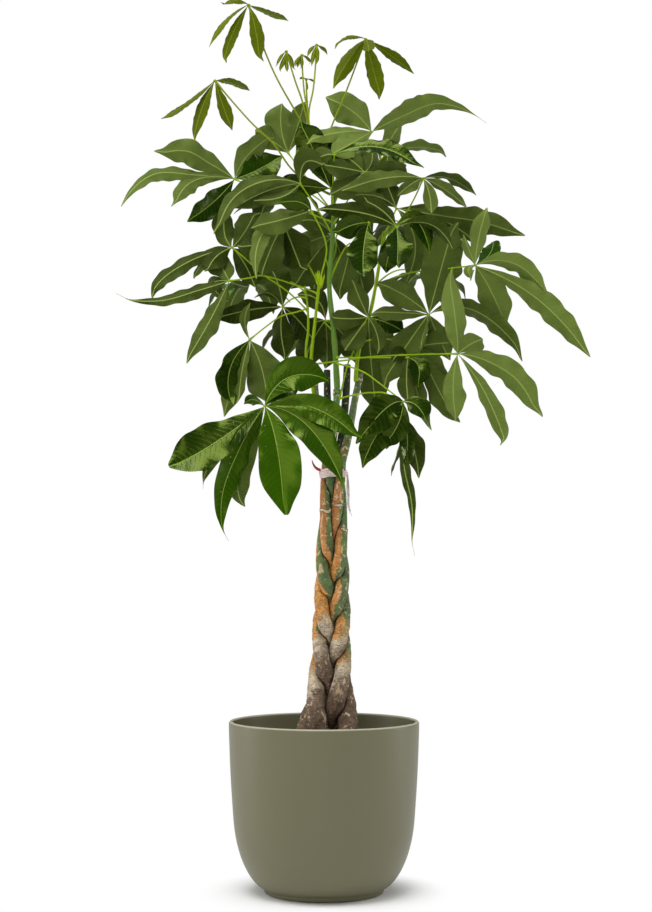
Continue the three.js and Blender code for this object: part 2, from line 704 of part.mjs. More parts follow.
// A thin folded blade along a rib. Its upper side faces "upper", turned by roll about the rib.
function blade(rib, width, upper, roll, thick, taper = TAPER) {
  bladeCount += 1;
  const start = (bladeCount * GOLDEN) % 1;
  const reach = rib[0].distanceTo(rib[rib.length - 1]);
  let cuts = LONG_CUTS;
  if (reach < SHORT_BLADE) cuts = SHORT_CUTS;
  if (reach < TINY_BLADE) cuts = TINY_CUTS;
  const angle = THREE.MathUtils.degToRad(roll);
  const section = (t, half) => {
    const centre = through(rib, t);
    const way = sum(through(rib, t + 0.01), through(rib, t - 0.01), -1).normalize();
    const level = sum(upper, way, -upper.dot(way)).normalize();
    const side = new THREE.Vector3().crossVectors(way, level);
    const face = level.clone().multiplyScalar(Math.cos(angle)).addScaledVector(side, Math.sin(angle));
    const across = new THREE.Vector3().crossVectors(way, face);
    const edge = (hand) => {
      const wave = Math.sin(2 * Math.PI * (WAVES * t + start + hand * WAVE_OFFSET));
      const rise = half * (FOLD + WAVE * wave);
      return centre.clone().addScaledVector(across, hand * half).addScaledVector(face, rise);
    };
    return [edge(-1), sum(centre, face, thick / 2), edge(1), sum(centre, face, -thick / 2)];
  };
  const outward = sum(through(rib, cuts[0]), rib[0], -1).normalize();
  const rings = [[sum(rib[0], outward, -Math.min(ROOT_DEPTH, width / 4))]];
  for (const t of cuts) rings.push(section(t, (width / 2) * fullness(t, taper)));
  rings.push([through(rib, 1)]);
  return skin(rings);
}

// A small knob that the blades of a leaf spring from.
function knob(centre, radius) {
  const belt = ring(centre, X_AXIS, Y_AXIS, () => radius, 4);
  return skin([[sum(centre, Z_AXIS, -radius)], belt, [sum(centre, Z_AXIS, radius)]]);
}

function stalk(points, thick) {
  return stem(points, thick * STALK_TAPER, thick, STALK_SIDES, points.length > 3 ? 5 : 4);
}

// A leaf given by what the eye sees of it.
function seenLeaf([root, via, hub, blades], thick) {
  const middle = seen(...hub);
  const path = [root, ...via, hub];
  const deeper = (hub[2] - root[2]) / (path.length - 1);
  const places = path.map(([x, z], i) => seen(x, z, root[2] + deeper * i));
  const away = sum(middle, EYE, -1).normalize();
  const pieces = [stalk(places, thick), knob(middle, thick * KNOB)];
  for (const row of blades) {
    const [tipDepth, width, roll, ...points] = row;
    const count = points.length / 2;
    const rib = [middle];
    for (let i = 1; i <= count; i += 1) {
      const depth = hub[2] + ((tipDepth - hub[2]) * i) / count;
      rib.push(seen(points[2 * i - 2], points[2 * i - 1], depth));
    }
    pieces.push(blade(rib, width, away, roll, thick, row.taper));
  }
  return pieces;
}

// A leaf that spreads like an umbrella at the end of its stalk.
function backLeaf([root, hub, length], thick) {
  const middle = seen(...hub);
  const base = seen(...root);
  const out = sum(middle, base, -1).setZ(0).normalize();
  const bend = sum(base, middle).multiplyScalar(0.5).addScaledVector(Z_AXIS, BACK.arch);
  const pieces = [stalk([base, bend, middle], thick), knob(middle, thick * KNOB)];
  for (let k = 0; k < BACK.blades; k += 1) {
    const side = (2 * k) / (BACK.blades - 1) - 1;
    const way = out.clone().applyAxisAngle(Z_AXIS, THREE.MathUtils.degToRad(BACK.spread * side));
    const reach = length * (1 - BACK.shortening * Math.abs(side));
    const place = (share) => {
      return sum(middle, way, reach * share.out).addScaledVector(Z_AXIS, -reach * share.down);
    };
    const rib = [middle, place(BACK.middle), place(BACK.tip)];
    pieces.push(blade(rib, reach * BACK.wide, Z_AXIS, 0, thick));
  }
  return pieces;
}

// One leafy shoot: its stalks and leaves grown together.
function shoot(stalks, leaves, back, thick) {
  const pieces = stalks.map((row) => {
    const places = row.path.map((place) => seen(...place));
    return stem(places, row.thin, row.thick, SHOOT_SIDES, 10);
  });
  for (const leaf of leaves) pieces.push(...seenLeaf(leaf, thick));
  for (const leaf of back) pieces.push(...backLeaf(leaf, thick));
  return geometryOf(fuse(pieces));
}

// The whole plant

const group = new THREE.Group();

function add(name, geometry, color, roughness) {
  const material = new THREE.MeshStandardMaterial({ color, roughness, metalness: 0 });
  const mesh = new THREE.Mesh(geometry, material);
  mesh.name = name;
  group.add(mesh);
}

add("pot", pot(), 0x74715b, 0.7);
add("soil", soil(), 0x33261a, 0.95);
["left", "centre", "rear_right", "right", "rear_left"].forEach((name, number) => {
  add(`trunk_${name}`, trunk(number), name === "centre" ? GREEN_BARK : BARK, 0.75);
});
add("tie", tie(), 0xd8c8c0, 0.9);
const addGrown = (name, ...grown) => add(name, shoot(...grown, OLD_THICK), OLD_LEAF, 0.45);
const addYoung = (name, ...grown) => add(name, shoot(...grown, [], YOUNG_THICK), YOUNG_LEAF, 0.5);
addGrown("leafy_shoot_left", LEFT_STALKS, LEFT_LEAVES, []);
addGrown("leafy_shoot_outer_left", OUTER_STALKS, OUTER_LEAVES, BACK_OUTER);
addGrown("leafy_shoot_centre", CENTRE_STALKS, CENTRE_LEAVES, BACK_CENTRE);
addGrown("leafy_shoot_right", RIGHT_STALKS, RIGHT_LEAVES, BACK_RIGHT);
addGrown("leaves_low_right", [], LOW_LEAVES, []);
addGrown("leaf_low_left", [], FRONT_LEAVES, []);
addYoung("young_shoot_top", YOUNG_STALKS, YOUNG_LEAVES);
addYoung("young_leaf_left", [], YOUNG_SIDE_LEAVES);

export default group;
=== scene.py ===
"""A money tree: five braided trunks with long-stalked, hand-shaped leaves, in soil in a round pot.

Every shape is worked out in millimetres, in the part's own frame: +Z is up, the origin is the
middle of the pot's underside, and the front looks along -Y. A mesh is turned to metres when it is
made. The trunks, shoots and leaves follow the same places as the solids that they replace. A blade
widens sooner from its hub than the solid's does, its edges are ruffled and its tip bends.
"""

from __future__ import annotations

import itertools
import logging
import math
from collections.abc import Callable
from dataclasses import dataclass, field
from enum import IntEnum
from functools import partial

import bpy
import numpy as np
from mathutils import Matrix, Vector


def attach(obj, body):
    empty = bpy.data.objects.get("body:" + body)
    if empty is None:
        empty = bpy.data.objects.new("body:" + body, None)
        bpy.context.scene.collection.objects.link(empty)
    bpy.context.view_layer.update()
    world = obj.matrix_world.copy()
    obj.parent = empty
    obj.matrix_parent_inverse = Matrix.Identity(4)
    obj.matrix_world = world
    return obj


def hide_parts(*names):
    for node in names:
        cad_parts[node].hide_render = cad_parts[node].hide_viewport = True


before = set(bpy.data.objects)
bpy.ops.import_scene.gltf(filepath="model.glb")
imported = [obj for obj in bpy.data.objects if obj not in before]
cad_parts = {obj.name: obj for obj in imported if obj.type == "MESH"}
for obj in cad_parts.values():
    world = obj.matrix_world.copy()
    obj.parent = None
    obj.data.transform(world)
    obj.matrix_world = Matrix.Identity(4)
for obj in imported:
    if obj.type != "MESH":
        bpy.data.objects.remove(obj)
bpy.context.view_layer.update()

LOG = logging.getLogger("money_tree")
MM = 0.001
SEED = 7
FULL_TURN = 2 * math.pi
UP = np.array([0.0, 0.0, 1.0])

# The front view's eye, which the leaves' places are given from
EYE = np.array([2.6, -2250.0, 430.0])
EYE_TILT = 3.575  # degrees that the view looks up
LENS = 67.0
SENSOR = 36.0

# Driving dimensions of the pot and the braid
POT_HEIGHT = 222.0
POT_RIM = 125.0
SOIL_TOP = 188.0
SOIL_EDGE = 116.8
TRUNKS = 5
CORKY = 290.0  # common height where the dark foot of the bark ends
CRUSTED = 336.0  # common height where its pale crust ends
BRAID_TOP = 562.0
DEPTH_REACH = 1.05  # depth of the braid against its width
SQUEEZE_GAP = 0.6  # room between two trunks that press on each other
LEAST = 0.01  # mm that a neighbour has to be to one side to press on it
TIE_LOW = 540.0
TIE_HIGH = 553.0

# Driving dimensions of a leaf
FOLD = 0.2  # rise of a blade's edges against its half width
FOLD_POWER = 1.2  # a higher value keeps the fold nearer the edges
WAVE = 0.13  # height of the waves along the edges, against the half width
WAVE_POWER = 1.5
WAVES = 1.4  # waves along a blade
WAVE_OFFSET = 0.2  # part of a wave that one edge leads the rib by, and the other trails by
GOLDEN = 0.618034  # spreads the start of the waves from blade to blade
SWELL = 1.3  # a higher value widens a blade later along its rib
TAPER = 0.9  # a higher value draws its tip out longer
TAIL = 1.8  # taper of a blade whose tip ends in a long thread
LONG = 1.3  # taper of a blade with a long, narrow end
ROUND = 0.72  # taper of a blade with a round end
NARROWING = 0.4  # of the tip beyond the taper
DRIP_TIP = (0.8, 0.97)  # where along the rib it starts and is full
BEND_FROM = 0.8  # where along the rib the tip starts to bend up or down
HOOK_FROM = 0.84  # and aside
STALK_NARROWING = 0.15  # of a stalk from its root to its hub
ROOT_SWELLING = (0.5, 0.05)  # how much a stalk swells at its root, and over which part of it
HUB_SWELLING = (0.7, 0.04)  # the same below its hub
RIB_STEP = 0.01  # along a rib, over which the way that it runs is read
RIB_SUNK = 0.45  # depth of a rib's middle below its blade, against its radius
RIB_SHARE = 0.93  # of its blade's rows, after which a rib ends
HUB_WIDTH = 1.9  # of a hub's disc against its stalk
HUB_SQUASH = 0.7  # height of the disc against its width
DROP_SQUASH = 0.6
PANEL_OUT = (0.5, 4.0)  # mm from the rib at which the panels between the veins start and are full
PANEL_HALF = (2.0, 10.0)  # half width where a blade has no panels, and where they are full

# Tone of a leaf: 0 is the deepest colour of its kind and 1 the palest
CROWN_MIDDLE = np.array([6.0, 0.0, 800.0])
OUTER_REACH = 210.0  # distance from there, aside or above, where the leaves are painted palest, as light; leaves nearer it are painted deeper, as shade
OUTER_PAINTED_LIGHT = 0.62
UPPER_PAINTED_SHADE = 0.55  # painted shade: an upper side that shows is painted darker, as if in the shade, but for the wet leaf in front
LEAF_SPREAD = 0.25  # most by which a leaf's tone strays
BLADE_SPREAD = 0.1  # by which a blade's tone strays from its leaf's
BACK_TONES = (0.0, 0.5)
STALK_TONES = (0.1, 0.5)
STEM_TONE = 0.3
BRACT_TONE = 0.9


# Surfaces


def unit(vectors: np.ndarray) -> np.ndarray:
    """Returns the vectors at length one."""
    return vectors / np.linalg.norm(vectors, axis=-1, keepdims=True)


def step_up(value: np.ndarray, low: float, high: float) -> np.ndarray:
    """A smooth step: 0 below low, 1 above high and u * u * (3 - 2 * u) between them."""
    u = np.clip((value - low) / (high - low), 0.0, 1.0)
    return u * u * (3.0 - 2.0 * u)


def hump(off: np.ndarray, reach: float) -> np.ndarray:
    """A smooth hump that is 1 at its middle: exp(-(off / reach) ** 2)."""
    return np.exp(-((off / reach) ** 2))


def angles(sides: int) -> np.ndarray:
    """Angles that part a full turn evenly."""
    return FULL_TURN * np.arange(sides) / sides


def seen(places: list | np.ndarray) -> np.ndarray:
    """Places that the eye sees at (X, Z) of the plane Y = 0, moved along the sight line to a depth.

    The offset from the eye grows with the distance: X = eye + (x - eye) * (depth - eyeY) / -eyeY.

    Args:
        places: Rows of X, Z and depth.

    Returns:
        Rows of X, Y and Z.
    """
    x, z, depth = np.asarray(places, float).T
    stretch = (depth - EYE[1]) / -EYE[1]
    return np.stack([EYE[0] + (x - EYE[0]) * stretch, depth, EYE[2] + (z - EYE[2]) * stretch], -1)


def cubic(ends: tuple[np.ndarray, ...], slopes: tuple[np.ndarray, ...], u: np.ndarray) -> np.ndarray:
    """The cubic with given ends and end slopes, at u from 0 to 1.

    It is low * (1 - rise) + high * rise + low slope * u * (1 - u) ** 2 - high slope * u ** 2 *
    (1 - u), with rise = u * u * (3 - 2 * u).

    Args:
        ends: The values at 0 and at 1.
        slopes: The slopes at 0 and at 1.
        u: Where to read it.

    Returns:
        The values.
    """
    rise = u * u * (3 - 2 * u)
    middle = ends[0] * (1 - rise) + ends[1] * rise
    return middle + slopes[0] * u * (1 - u) ** 2 - slopes[1] * u * u * (1 - u)


def spline(points: np.ndarray, t: np.ndarray) -> np.ndarray:
    """A smooth curve through points evenly spaced in t, from 0 to 1.

    Each stretch is the cubic with the slope (next - previous) / 2 at its ends. The outer slopes
    are those of a parabola through the last three points.

    Args:
        points: The points, one row each.
        t: Where to read the curve.

    Returns:
        One row for each t.
    """
    last = len(points) - 1
    slope = np.empty_like(points)
    slope[:] = points[last] - points[last - 1]
    if last > 1:
        slope[1:-1] = (points[2:] - points[:-2]) / 2
        slope[0] = 2 * (points[1] - points[0]) - slope[1]
        slope[-1] = 2 * (points[-1] - points[-2]) - slope[-2]
    i = np.clip(np.floor(t * last).astype(int), 0, last - 1)
    return cubic((points[i], points[i + 1]), (slope[i], slope[i + 1]), (t * last - i)[:, None])


def length_of(points: np.ndarray) -> float:
    """Length of the smooth curve through some points, added up over 23 short chords."""
    return np.linalg.norm(np.diff(spline(points, np.linspace(0, 1, 24)), axis=0), axis=1).sum()


def smooth(table: np.ndarray, heights: np.ndarray) -> np.ndarray:
    """Smooth values from a table whose first column is the height.

    Each stretch is the cubic whose end slopes are the chord between its neighbours, over the
    difference of their heights.

    Args:
        table: Rows of height and values.
        heights: Where to read the table.

    Returns:
        The other columns, one row for each height.
    """
    last = len(table) - 1
    before = table[np.clip(np.arange(last + 1) - 1, 0, last)]
    after = table[np.clip(np.arange(last + 1) + 1, 0, last)]
    slope = (after - before)[:, 1:] / (after - before)[:, :1]
    i = np.clip(np.searchsorted(table[:, 0], heights) - 1, 0, last - 1)
    span = (table[i + 1, 0] - table[i, 0])[:, None]
    u = (heights[:, None] - table[i, :1]) / span
    return cubic((table[i, 1:], table[i + 1, 1:]), (span * slope[i], span * slope[i + 1]), u)


def rough(points: np.ndarray, wave: float, seed: int) -> np.ndarray:
    """A smooth random field between about -1 and 1: the mean of plane waves in many directions.

    Each wave is sin(2 * pi * (point . direction) / length + phase), with a length near wave. The
    sum of 14 of them is seldom over 4.5.

    Args:
        points: Where to read the field, in mm, with X, Y and Z last.
        wave: The typical wavelength in mm.
        seed: Number that picks the directions.

    Returns:
        One value for each point.
    """
    draw = np.random.default_rng(seed)
    ways = unit(draw.normal(size=(14, 3))) / (wave * draw.uniform(0.6, 1.7, size=(14, 1)))
    phases = draw.uniform(0, FULL_TURN, 14)
    return np.sin(FULL_TURN * points @ ways.T + phases).sum(-1) / 4.5


def tube(path: np.ndarray, radii: np.ndarray, sides: int) -> np.ndarray:
    """Rings round a path: centre + radius * (cos(angle) * across + sin(angle) * up).

    Across is at right angles to the path and to the frame's axis that the path follows least.

    Args:
        path: Points along the middle.
        radii: Radius at each point.
        sides: Points in each ring.

    Returns:
        The rings, indexed by ring, by point and by X, Y and Z.
    """
    way = unit(np.gradient(path, axis=0))
    axis = np.eye(3)[np.argmin(np.abs(way).max(axis=0))]
    across = unit(np.cross(way, axis))
    up = np.cross(way, across)
    angle = angles(sides)[:, None]
    spoke = across[:, None] * np.cos(angle) + up[:, None] * np.sin(angle)
    return path[:, None] + spoke * np.asarray(radii, float)[:, None, None]


def turned(radius: np.ndarray, height: np.ndarray, sides: int) -> np.ndarray:
    """Rings of a profile carried round the axis: (radius * cos a, radius * sin a, height).

    Args:
        radius: Radius at each point of the profile.
        height: Height of each point.
        sides: Points in each ring.

    Returns:
        The rings, indexed by ring, by point and by X, Y and Z.
    """
    radius, angle = radius[:, None], angles(sides)
    ring = np.broadcast_arrays(radius * np.cos(angle), radius * np.sin(angle), height[:, None])
    return np.stack(ring, -1)


def ball(centre: np.ndarray, radius: float, sides: int, squash: float = 1.0) -> np.ndarray:
    """Rings of a ball: radius * (sin(turn) * (cos a, sin a), squash * cos(turn)) round the centre.

    Args:
        centre: Its middle.
        radius: Its radius.
        sides: Points in each ring.
        squash: Its height against its width.

    Returns:
        The rings, indexed by ring, by point and by X, Y and Z. The ends are left flat.
    """
    turn = np.linspace(0.12 * math.pi, 0.88 * math.pi, sides // 2 + 1)
    return centre + radius * turned(np.sin(turn), squash * np.cos(turn), sides)


@dataclass
class Skin:
    """Closed surfaces gathered for one mesh, with a slot on each face and values on each point."""

    points: list[np.ndarray] = field(default_factory=list)
    faces: list[np.ndarray] = field(default_factory=list)
    slots: list[np.ndarray] = field(default_factory=list)
    values: list[dict[str, np.ndarray]] = field(default_factory=list)
    count: int = 0
    crease: float = 62.0  # degrees past which two faces meet in a sharp edge

    def add(
        self,
        rings: np.ndarray,
        slots: int | np.ndarray = 0,
        final_slot: int | None = None,
        **values: np.ndarray,
    ) -> None:
        """Adds rings joined into a tube, whose ends close on the middles of the end rings.

        The faces are turned over if the volume, a sixth of the sum of a . (b x c), is negative.

        Args:
            rings: Points indexed by ring, by place in the ring and by X, Y and Z.
            slots: Material slot of the faces, or one for each strip between two places.
            final_slot: Material slot of the last end, if it has its own.
            values: Numbers for the points, indexed by ring and place, or one for each ring.
        """
        number, size = rings.shape[:2]
        ends = rings[0].mean(0), rings[-1].mean(0)
        points = np.concatenate([ends[:1], rings.reshape(-1, 3), ends[1:]])
        i, j = np.meshgrid(np.arange(number - 1), np.arange(size), indexing="ij")
        low = 1 + i * size + j
        low_next = 1 + i * size + (j + 1) % size
        walls = np.stack([low, low_next, low_next + size, low + size], -1).reshape(-1, 4)
        place = np.arange(size)
        first = np.stack([0 * place, 1 + (place + 1) % size, 1 + place, 0 * place - 1], -1)
        start = 1 + (number - 1) * size
        top = 0 * place + start + size
        final = np.stack([top, start + place, start + (place + 1) % size, 0 * place - 1], -1)
        faces = np.concatenate([walls, first, final])
        a, b, c = (points[faces[:, k]] for k in range(3))
        d = points[np.where(faces[:, 3] < 0, faces[:, 0], faces[:, 3])]
        volume = (a * (np.cross(b, c) + np.cross(c, d))).sum()
        if volume < 0:
            faces = np.where(faces[:, 3:] < 0, faces[:, [0, 2, 1, 3]], faces[:, [0, 3, 2, 1]])
        self.faces.append(np.where(faces < 0, -1, faces + self.count))
        strip = np.broadcast_to(slots, size)
        last_strip = strip if final_slot is None else np.full(size, final_slot)
        self.slots.append(np.concatenate([np.tile(strip, number), last_strip]))
        self.points.append(points)
        chunk = {}
        for name, value in values.items():
            value = np.asarray(value, float)
            full = np.broadcast_to(value if value.ndim == 2 else value.reshape(-1, 1), (number, size))
            chunk[name] = np.concatenate([[full[0].mean()], full.ravel(), [full[-1].mean()]])
        self.values.append(chunk)
        self.count += len(points)

    def make(self, name: str, finishes: list[Finish]) -> bpy.types.Object:
        """Makes the mesh object, in metres, with smooth faces, and dresses it.

        Args:
            name: Name of the object.
            finishes: Finishes in the order of the slots.

        Returns:
            The new object, at the origin.
        """
        faces = np.concatenate(self.faces)
        sizes = np.where(faces[:, 3] < 0, 3, 4)
        corners = faces.ravel()[faces.ravel() >= 0]
        mesh = bpy.data.meshes.new(name)
        mesh.vertices.add(self.count)
        mesh.vertices.foreach_set("co", (np.concatenate(self.points) * MM).ravel())
        mesh.loops.add(len(corners))
        mesh.loops.foreach_set("vertex_index", corners)
        mesh.polygons.add(len(faces))
        mesh.polygons.foreach_set("loop_start", np.concatenate([[0], np.cumsum(sizes)[:-1]]))
        mesh.polygons.foreach_set("material_index", np.concatenate(self.slots))
        mesh.polygons.foreach_set("use_smooth", np.ones(len(faces), bool))
        for value in sorted(set().union(*self.values)):
            rows = [
                chunk.get(value, np.zeros(len(points)))
                for chunk, points in zip(self.values, self.points)
            ]
            layer = mesh.attributes.new(value, "FLOAT", "POINT")
            layer.data.foreach_set("value", np.concatenate(rows))
        mesh.update(calc_edges=True)
        mesh.set_sharp_from_angle(angle=math.radians(self.crease))
        for finish in finishes:
            mesh.materials.append(finish.build())
        piece = bpy.data.objects.new(name, mesh)
        bpy.context.scene.collection.objects.link(piece)
        return piece


def place_piece(piece: bpy.types.Object, slot: str, node: str) -> None:
    """Ties a piece to the part and reports it.

    Args:
        piece: The piece, which rides with the part's one body.
        slot: The name of the part's slot for it. Not used.
        node: The node that it replaces.
    """
    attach(piece, "root")
    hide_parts(node)
    LOG.info("%s: %d faces", piece.name, len(piece.data.polygons))


# Finishes


def linear(colour: str) -> tuple[float, float, float, float]:
    """Turns an sRGB hex colour such as "5f783c" into linear light.

    Args:
        colour: Six hex digits.

    Returns:
        Red, green, blue and an opacity of one.
    """
    parts = [int(colour[k : k + 2], 16) / 255 for k in (0, 2, 4)]
    light = [c / 12.92 if c <= 0.04045 else ((c + 0.055) / 1.055) ** 2.4 for c in parts]
    return (*light, 1.0)


def scale_of(size: float) -> float:
    """Scale of a pattern whose grains have a size in mm."""
    return 1 / (size * MM)


def add_node(
    tree: bpy.types.NodeTree,
    kind: str,
    settings: dict | None = None,
    inputs: dict | None = None,
    stops: list[tuple[float, str]] | None = None,
    out: str | None = None,
) -> bpy.types.NodeSocket | None:
    """Adds a node with its settings, values and links.

    Args:
        tree: The node tree.
        kind: The node's type, without its "ShaderNode" start.
        settings: Properties of the node.
        inputs: Value, hex colour or output to link, for each input by its name or number.
        stops: Places and hex colours of a colour ramp.
        out: Name of the wanted output, if it isn't the first that is in use.

    Returns:
        The output, if the node has one.
    """
    node = tree.nodes.new("ShaderNode" + kind)
    for name, value in (settings or {}).items():
        setattr(node, name, value)
    for name, value in (inputs or {}).items():
        if isinstance(value, bpy.types.NodeSocket):
            tree.links.new(value, node.inputs[name])
        else:
            node.inputs[name].default_value = linear(value) if isinstance(value, str) else value
    for number, (place, colour) in enumerate(stops or []):
        ramp = node.color_ramp.elements
        stop = ramp[number] if number < 2 else ramp.new(place)
        stop.position = place
        stop.color = linear(colour)
    if out:
        return node.outputs[out]
    return next((output for output in node.outputs if output.enabled), None)


Adder = Callable[..., bpy.types.NodeSocket]  # add_node for the tree of one material

# Settings of the nodes: a smooth change between two values, sums, and mixes of colours
SMOOTHLY = {"interpolation_type": "SMOOTHSTEP"}
TIMES = {"operation": "MULTIPLY"}
TIMES_PLUS = {"operation": "MULTIPLY_ADD"}
COLOURS = {"data_type": "RGBA"}
DARKEN = {"data_type": "RGBA", "blend_type": "MULTIPLY"}

# Numbers of the two colours that go into a Mix node
MIX_A = 6
MIX_B = 7


@dataclass(frozen=True)
class Finish:
    """A finish. Each kind has nodes of its own, which end in a shader."""

    name: str

    def shader(self, add: Adder) -> bpy.types.NodeSocket:
        """Adds the finish's own nodes.

        Args:
            add: Adds a node to the material.

        Returns:
            The output of the shader that they end in.
        """
        raise NotImplementedError

    def build(self) -> bpy.types.Material:
        """Makes the material.

        Returns:
            The material, ready for a mesh.
        """
        material = bpy.data.materials.new(self.name)
        material.use_nodes = True
        material.node_tree.nodes.clear()
        add = partial(add_node, material.node_tree)
        add("OutputMaterial", inputs={"Surface": self.shader(add)})
        return material


@dataclass(frozen=True)
class LeafFace(Finish):
    """One side of a leaf: green flesh under a waxy skin, with a feather of side veins.

    The upper skin is smooth and shines, so light catches each panel between two veins. The
    underside is paler and matte, and its veins stand out.
    """

    deep: str
    pale: str
    vein: str
    roughness: float
    vein_strength: float
    bump: float
    shine: float = 0.5
    tint: str = "dcee70"  # of the light that the waxy skin throws back
    thin: float = 0.22  # share of the light that passes through the blade
    through: str = "a4cc10"

    def shader(self, add: Adder) -> bpy.types.NodeSocket:
        """Adds the nodes. They read the blade's own values: vein, across and tone.

        Args:
            add: Adds a node to the material.

        Returns:
            The shader's output.
        """
        place = add("TexCoord", out="Object")
        vein, across, tone = (
            add("Attribute", {"attribute_name": name}, out="Fac") for name in ("vein", "across", "tone")
        )
        # a wandering of a few mm keeps the veins from being ruled lines
        wander = add("TexNoise", inputs={"Vector": place, "Scale": scale_of(12), "Detail": 2.0})
        bent = add("Math", TIMES_PLUS, {0: wander, 1: 0.35, 2: vein})
        part = add("Math", {"operation": "FRACT"}, {0: bent})
        off = add("Math", {"operation": "SUBTRACT"}, {0: part, 1: 0.5})
        gap = add("Math", {"operation": "ABSOLUTE"}, {0: off})
        line = add("MapRange", SMOOTHLY, {"Value": gap, "From Min": 0.4, "From Max": 0.5})
        # the middle rib is pale within a millimetre of the middle
        side = add("Math", {"operation": "ABSOLUTE"}, {0: across})
        rib = add("MapRange", SMOOTHLY, {"Value": side, "From Min": 0.95, "From Max": 0.3})
        veins = add("Math", TIMES, {0: line, 1: self.vein_strength})
        both = add("Math", {"operation": "MAXIMUM"}, {0: veins, 1: rib})
        # cells of about 3 mm are the net of small veins between the side veins
        net = add("TexVoronoi", {"feature": "DISTANCE_TO_EDGE"}, {"Vector": place, "Scale": scale_of(3)})
        cloud = add("TexNoise", inputs={"Vector": place, "Scale": scale_of(30), "Detail": 4.0})
        shade = add("Math", TIMES_PLUS, {0: cloud, 1: 0.5, 2: tone})
        lift = add("Math", {"operation": "SUBTRACT", "use_clamp": True}, {0: shade, 1: 0.25})
        flesh = add("Mix", COLOURS, {0: lift, MIX_A: self.deep, MIX_B: self.pale})
        colour = add("Mix", COLOURS, {0: both, MIX_A: flesh, MIX_B: self.vein})
        relief = add("Math", TIMES_PLUS, {0: line, 1: -1.0, 2: net})
        bump = add("Bump", inputs={"Strength": self.bump, "Distance": 0.6 * MM, "Height": relief})
        skin = add("BsdfPrincipled", inputs={
            "Base Color": colour, "Roughness": self.roughness, "Specular IOR Level": self.shine,
            "Specular Tint": self.tint, "Normal": bump})
        through = add("BsdfTranslucent", inputs={"Color": self.through})
        return add("MixShader", inputs={0: self.thin, 1: skin, 2: through})


@dataclass(frozen=True)
class Water(Finish):
    """Drops of water left on a leaf: clear and very smooth, with a slight green painted in for the leaf
    that shows through them.
    """

    def shader(self, add: Adder) -> bpy.types.NodeSocket:
        """Adds the one node, for water with its own IOR, and returns its output."""
        # painted: the faint green of the base colour stands in for the leaf seen through the drop
        return add("BsdfPrincipled", inputs={
            "Base Color": "eef4e4", "Roughness": 0.05, "IOR": 1.33, "Transmission Weight": 0.8})


@dataclass(frozen=True)
class GreenStem(Finish):
    """Young stems and stalks: smooth, juicy and lightly waxed, in two greens that run together."""

    deep: str
    pale: str
    roughness: float = 0.42

    def shader(self, add: Adder) -> bpy.types.NodeSocket:
        """Adds the nodes. They mix two greens by a cloud and by the piece's own tone.

        Args:
            add: Adds a node to the material.

        Returns:
            The shader's output.
        """
        place = add("TexCoord", out="Object")
        tone = add("Attribute", {"attribute_name": "tone"}, out="Fac")
        cloud = add("TexNoise", inputs={"Vector": place, "Scale": scale_of(14), "Detail": 3.0})
        shade = add("Math", TIMES_PLUS | {"use_clamp": True}, {0: cloud, 1: 0.5, 2: tone})
        colour = add("Mix", COLOURS, {0: shade, MIX_A: self.deep, MIX_B: self.pale})
        bump = add("Bump", inputs={"Strength": 0.15, "Distance": 0.4 * MM, "Height": cloud})
        return add("BsdfPrincipled", inputs={
            "Base Color": colour, "Roughness": self.roughness, "Specular IOR Level": 0.4,
            "Specular Tint": "dcee70", "Normal": bump})


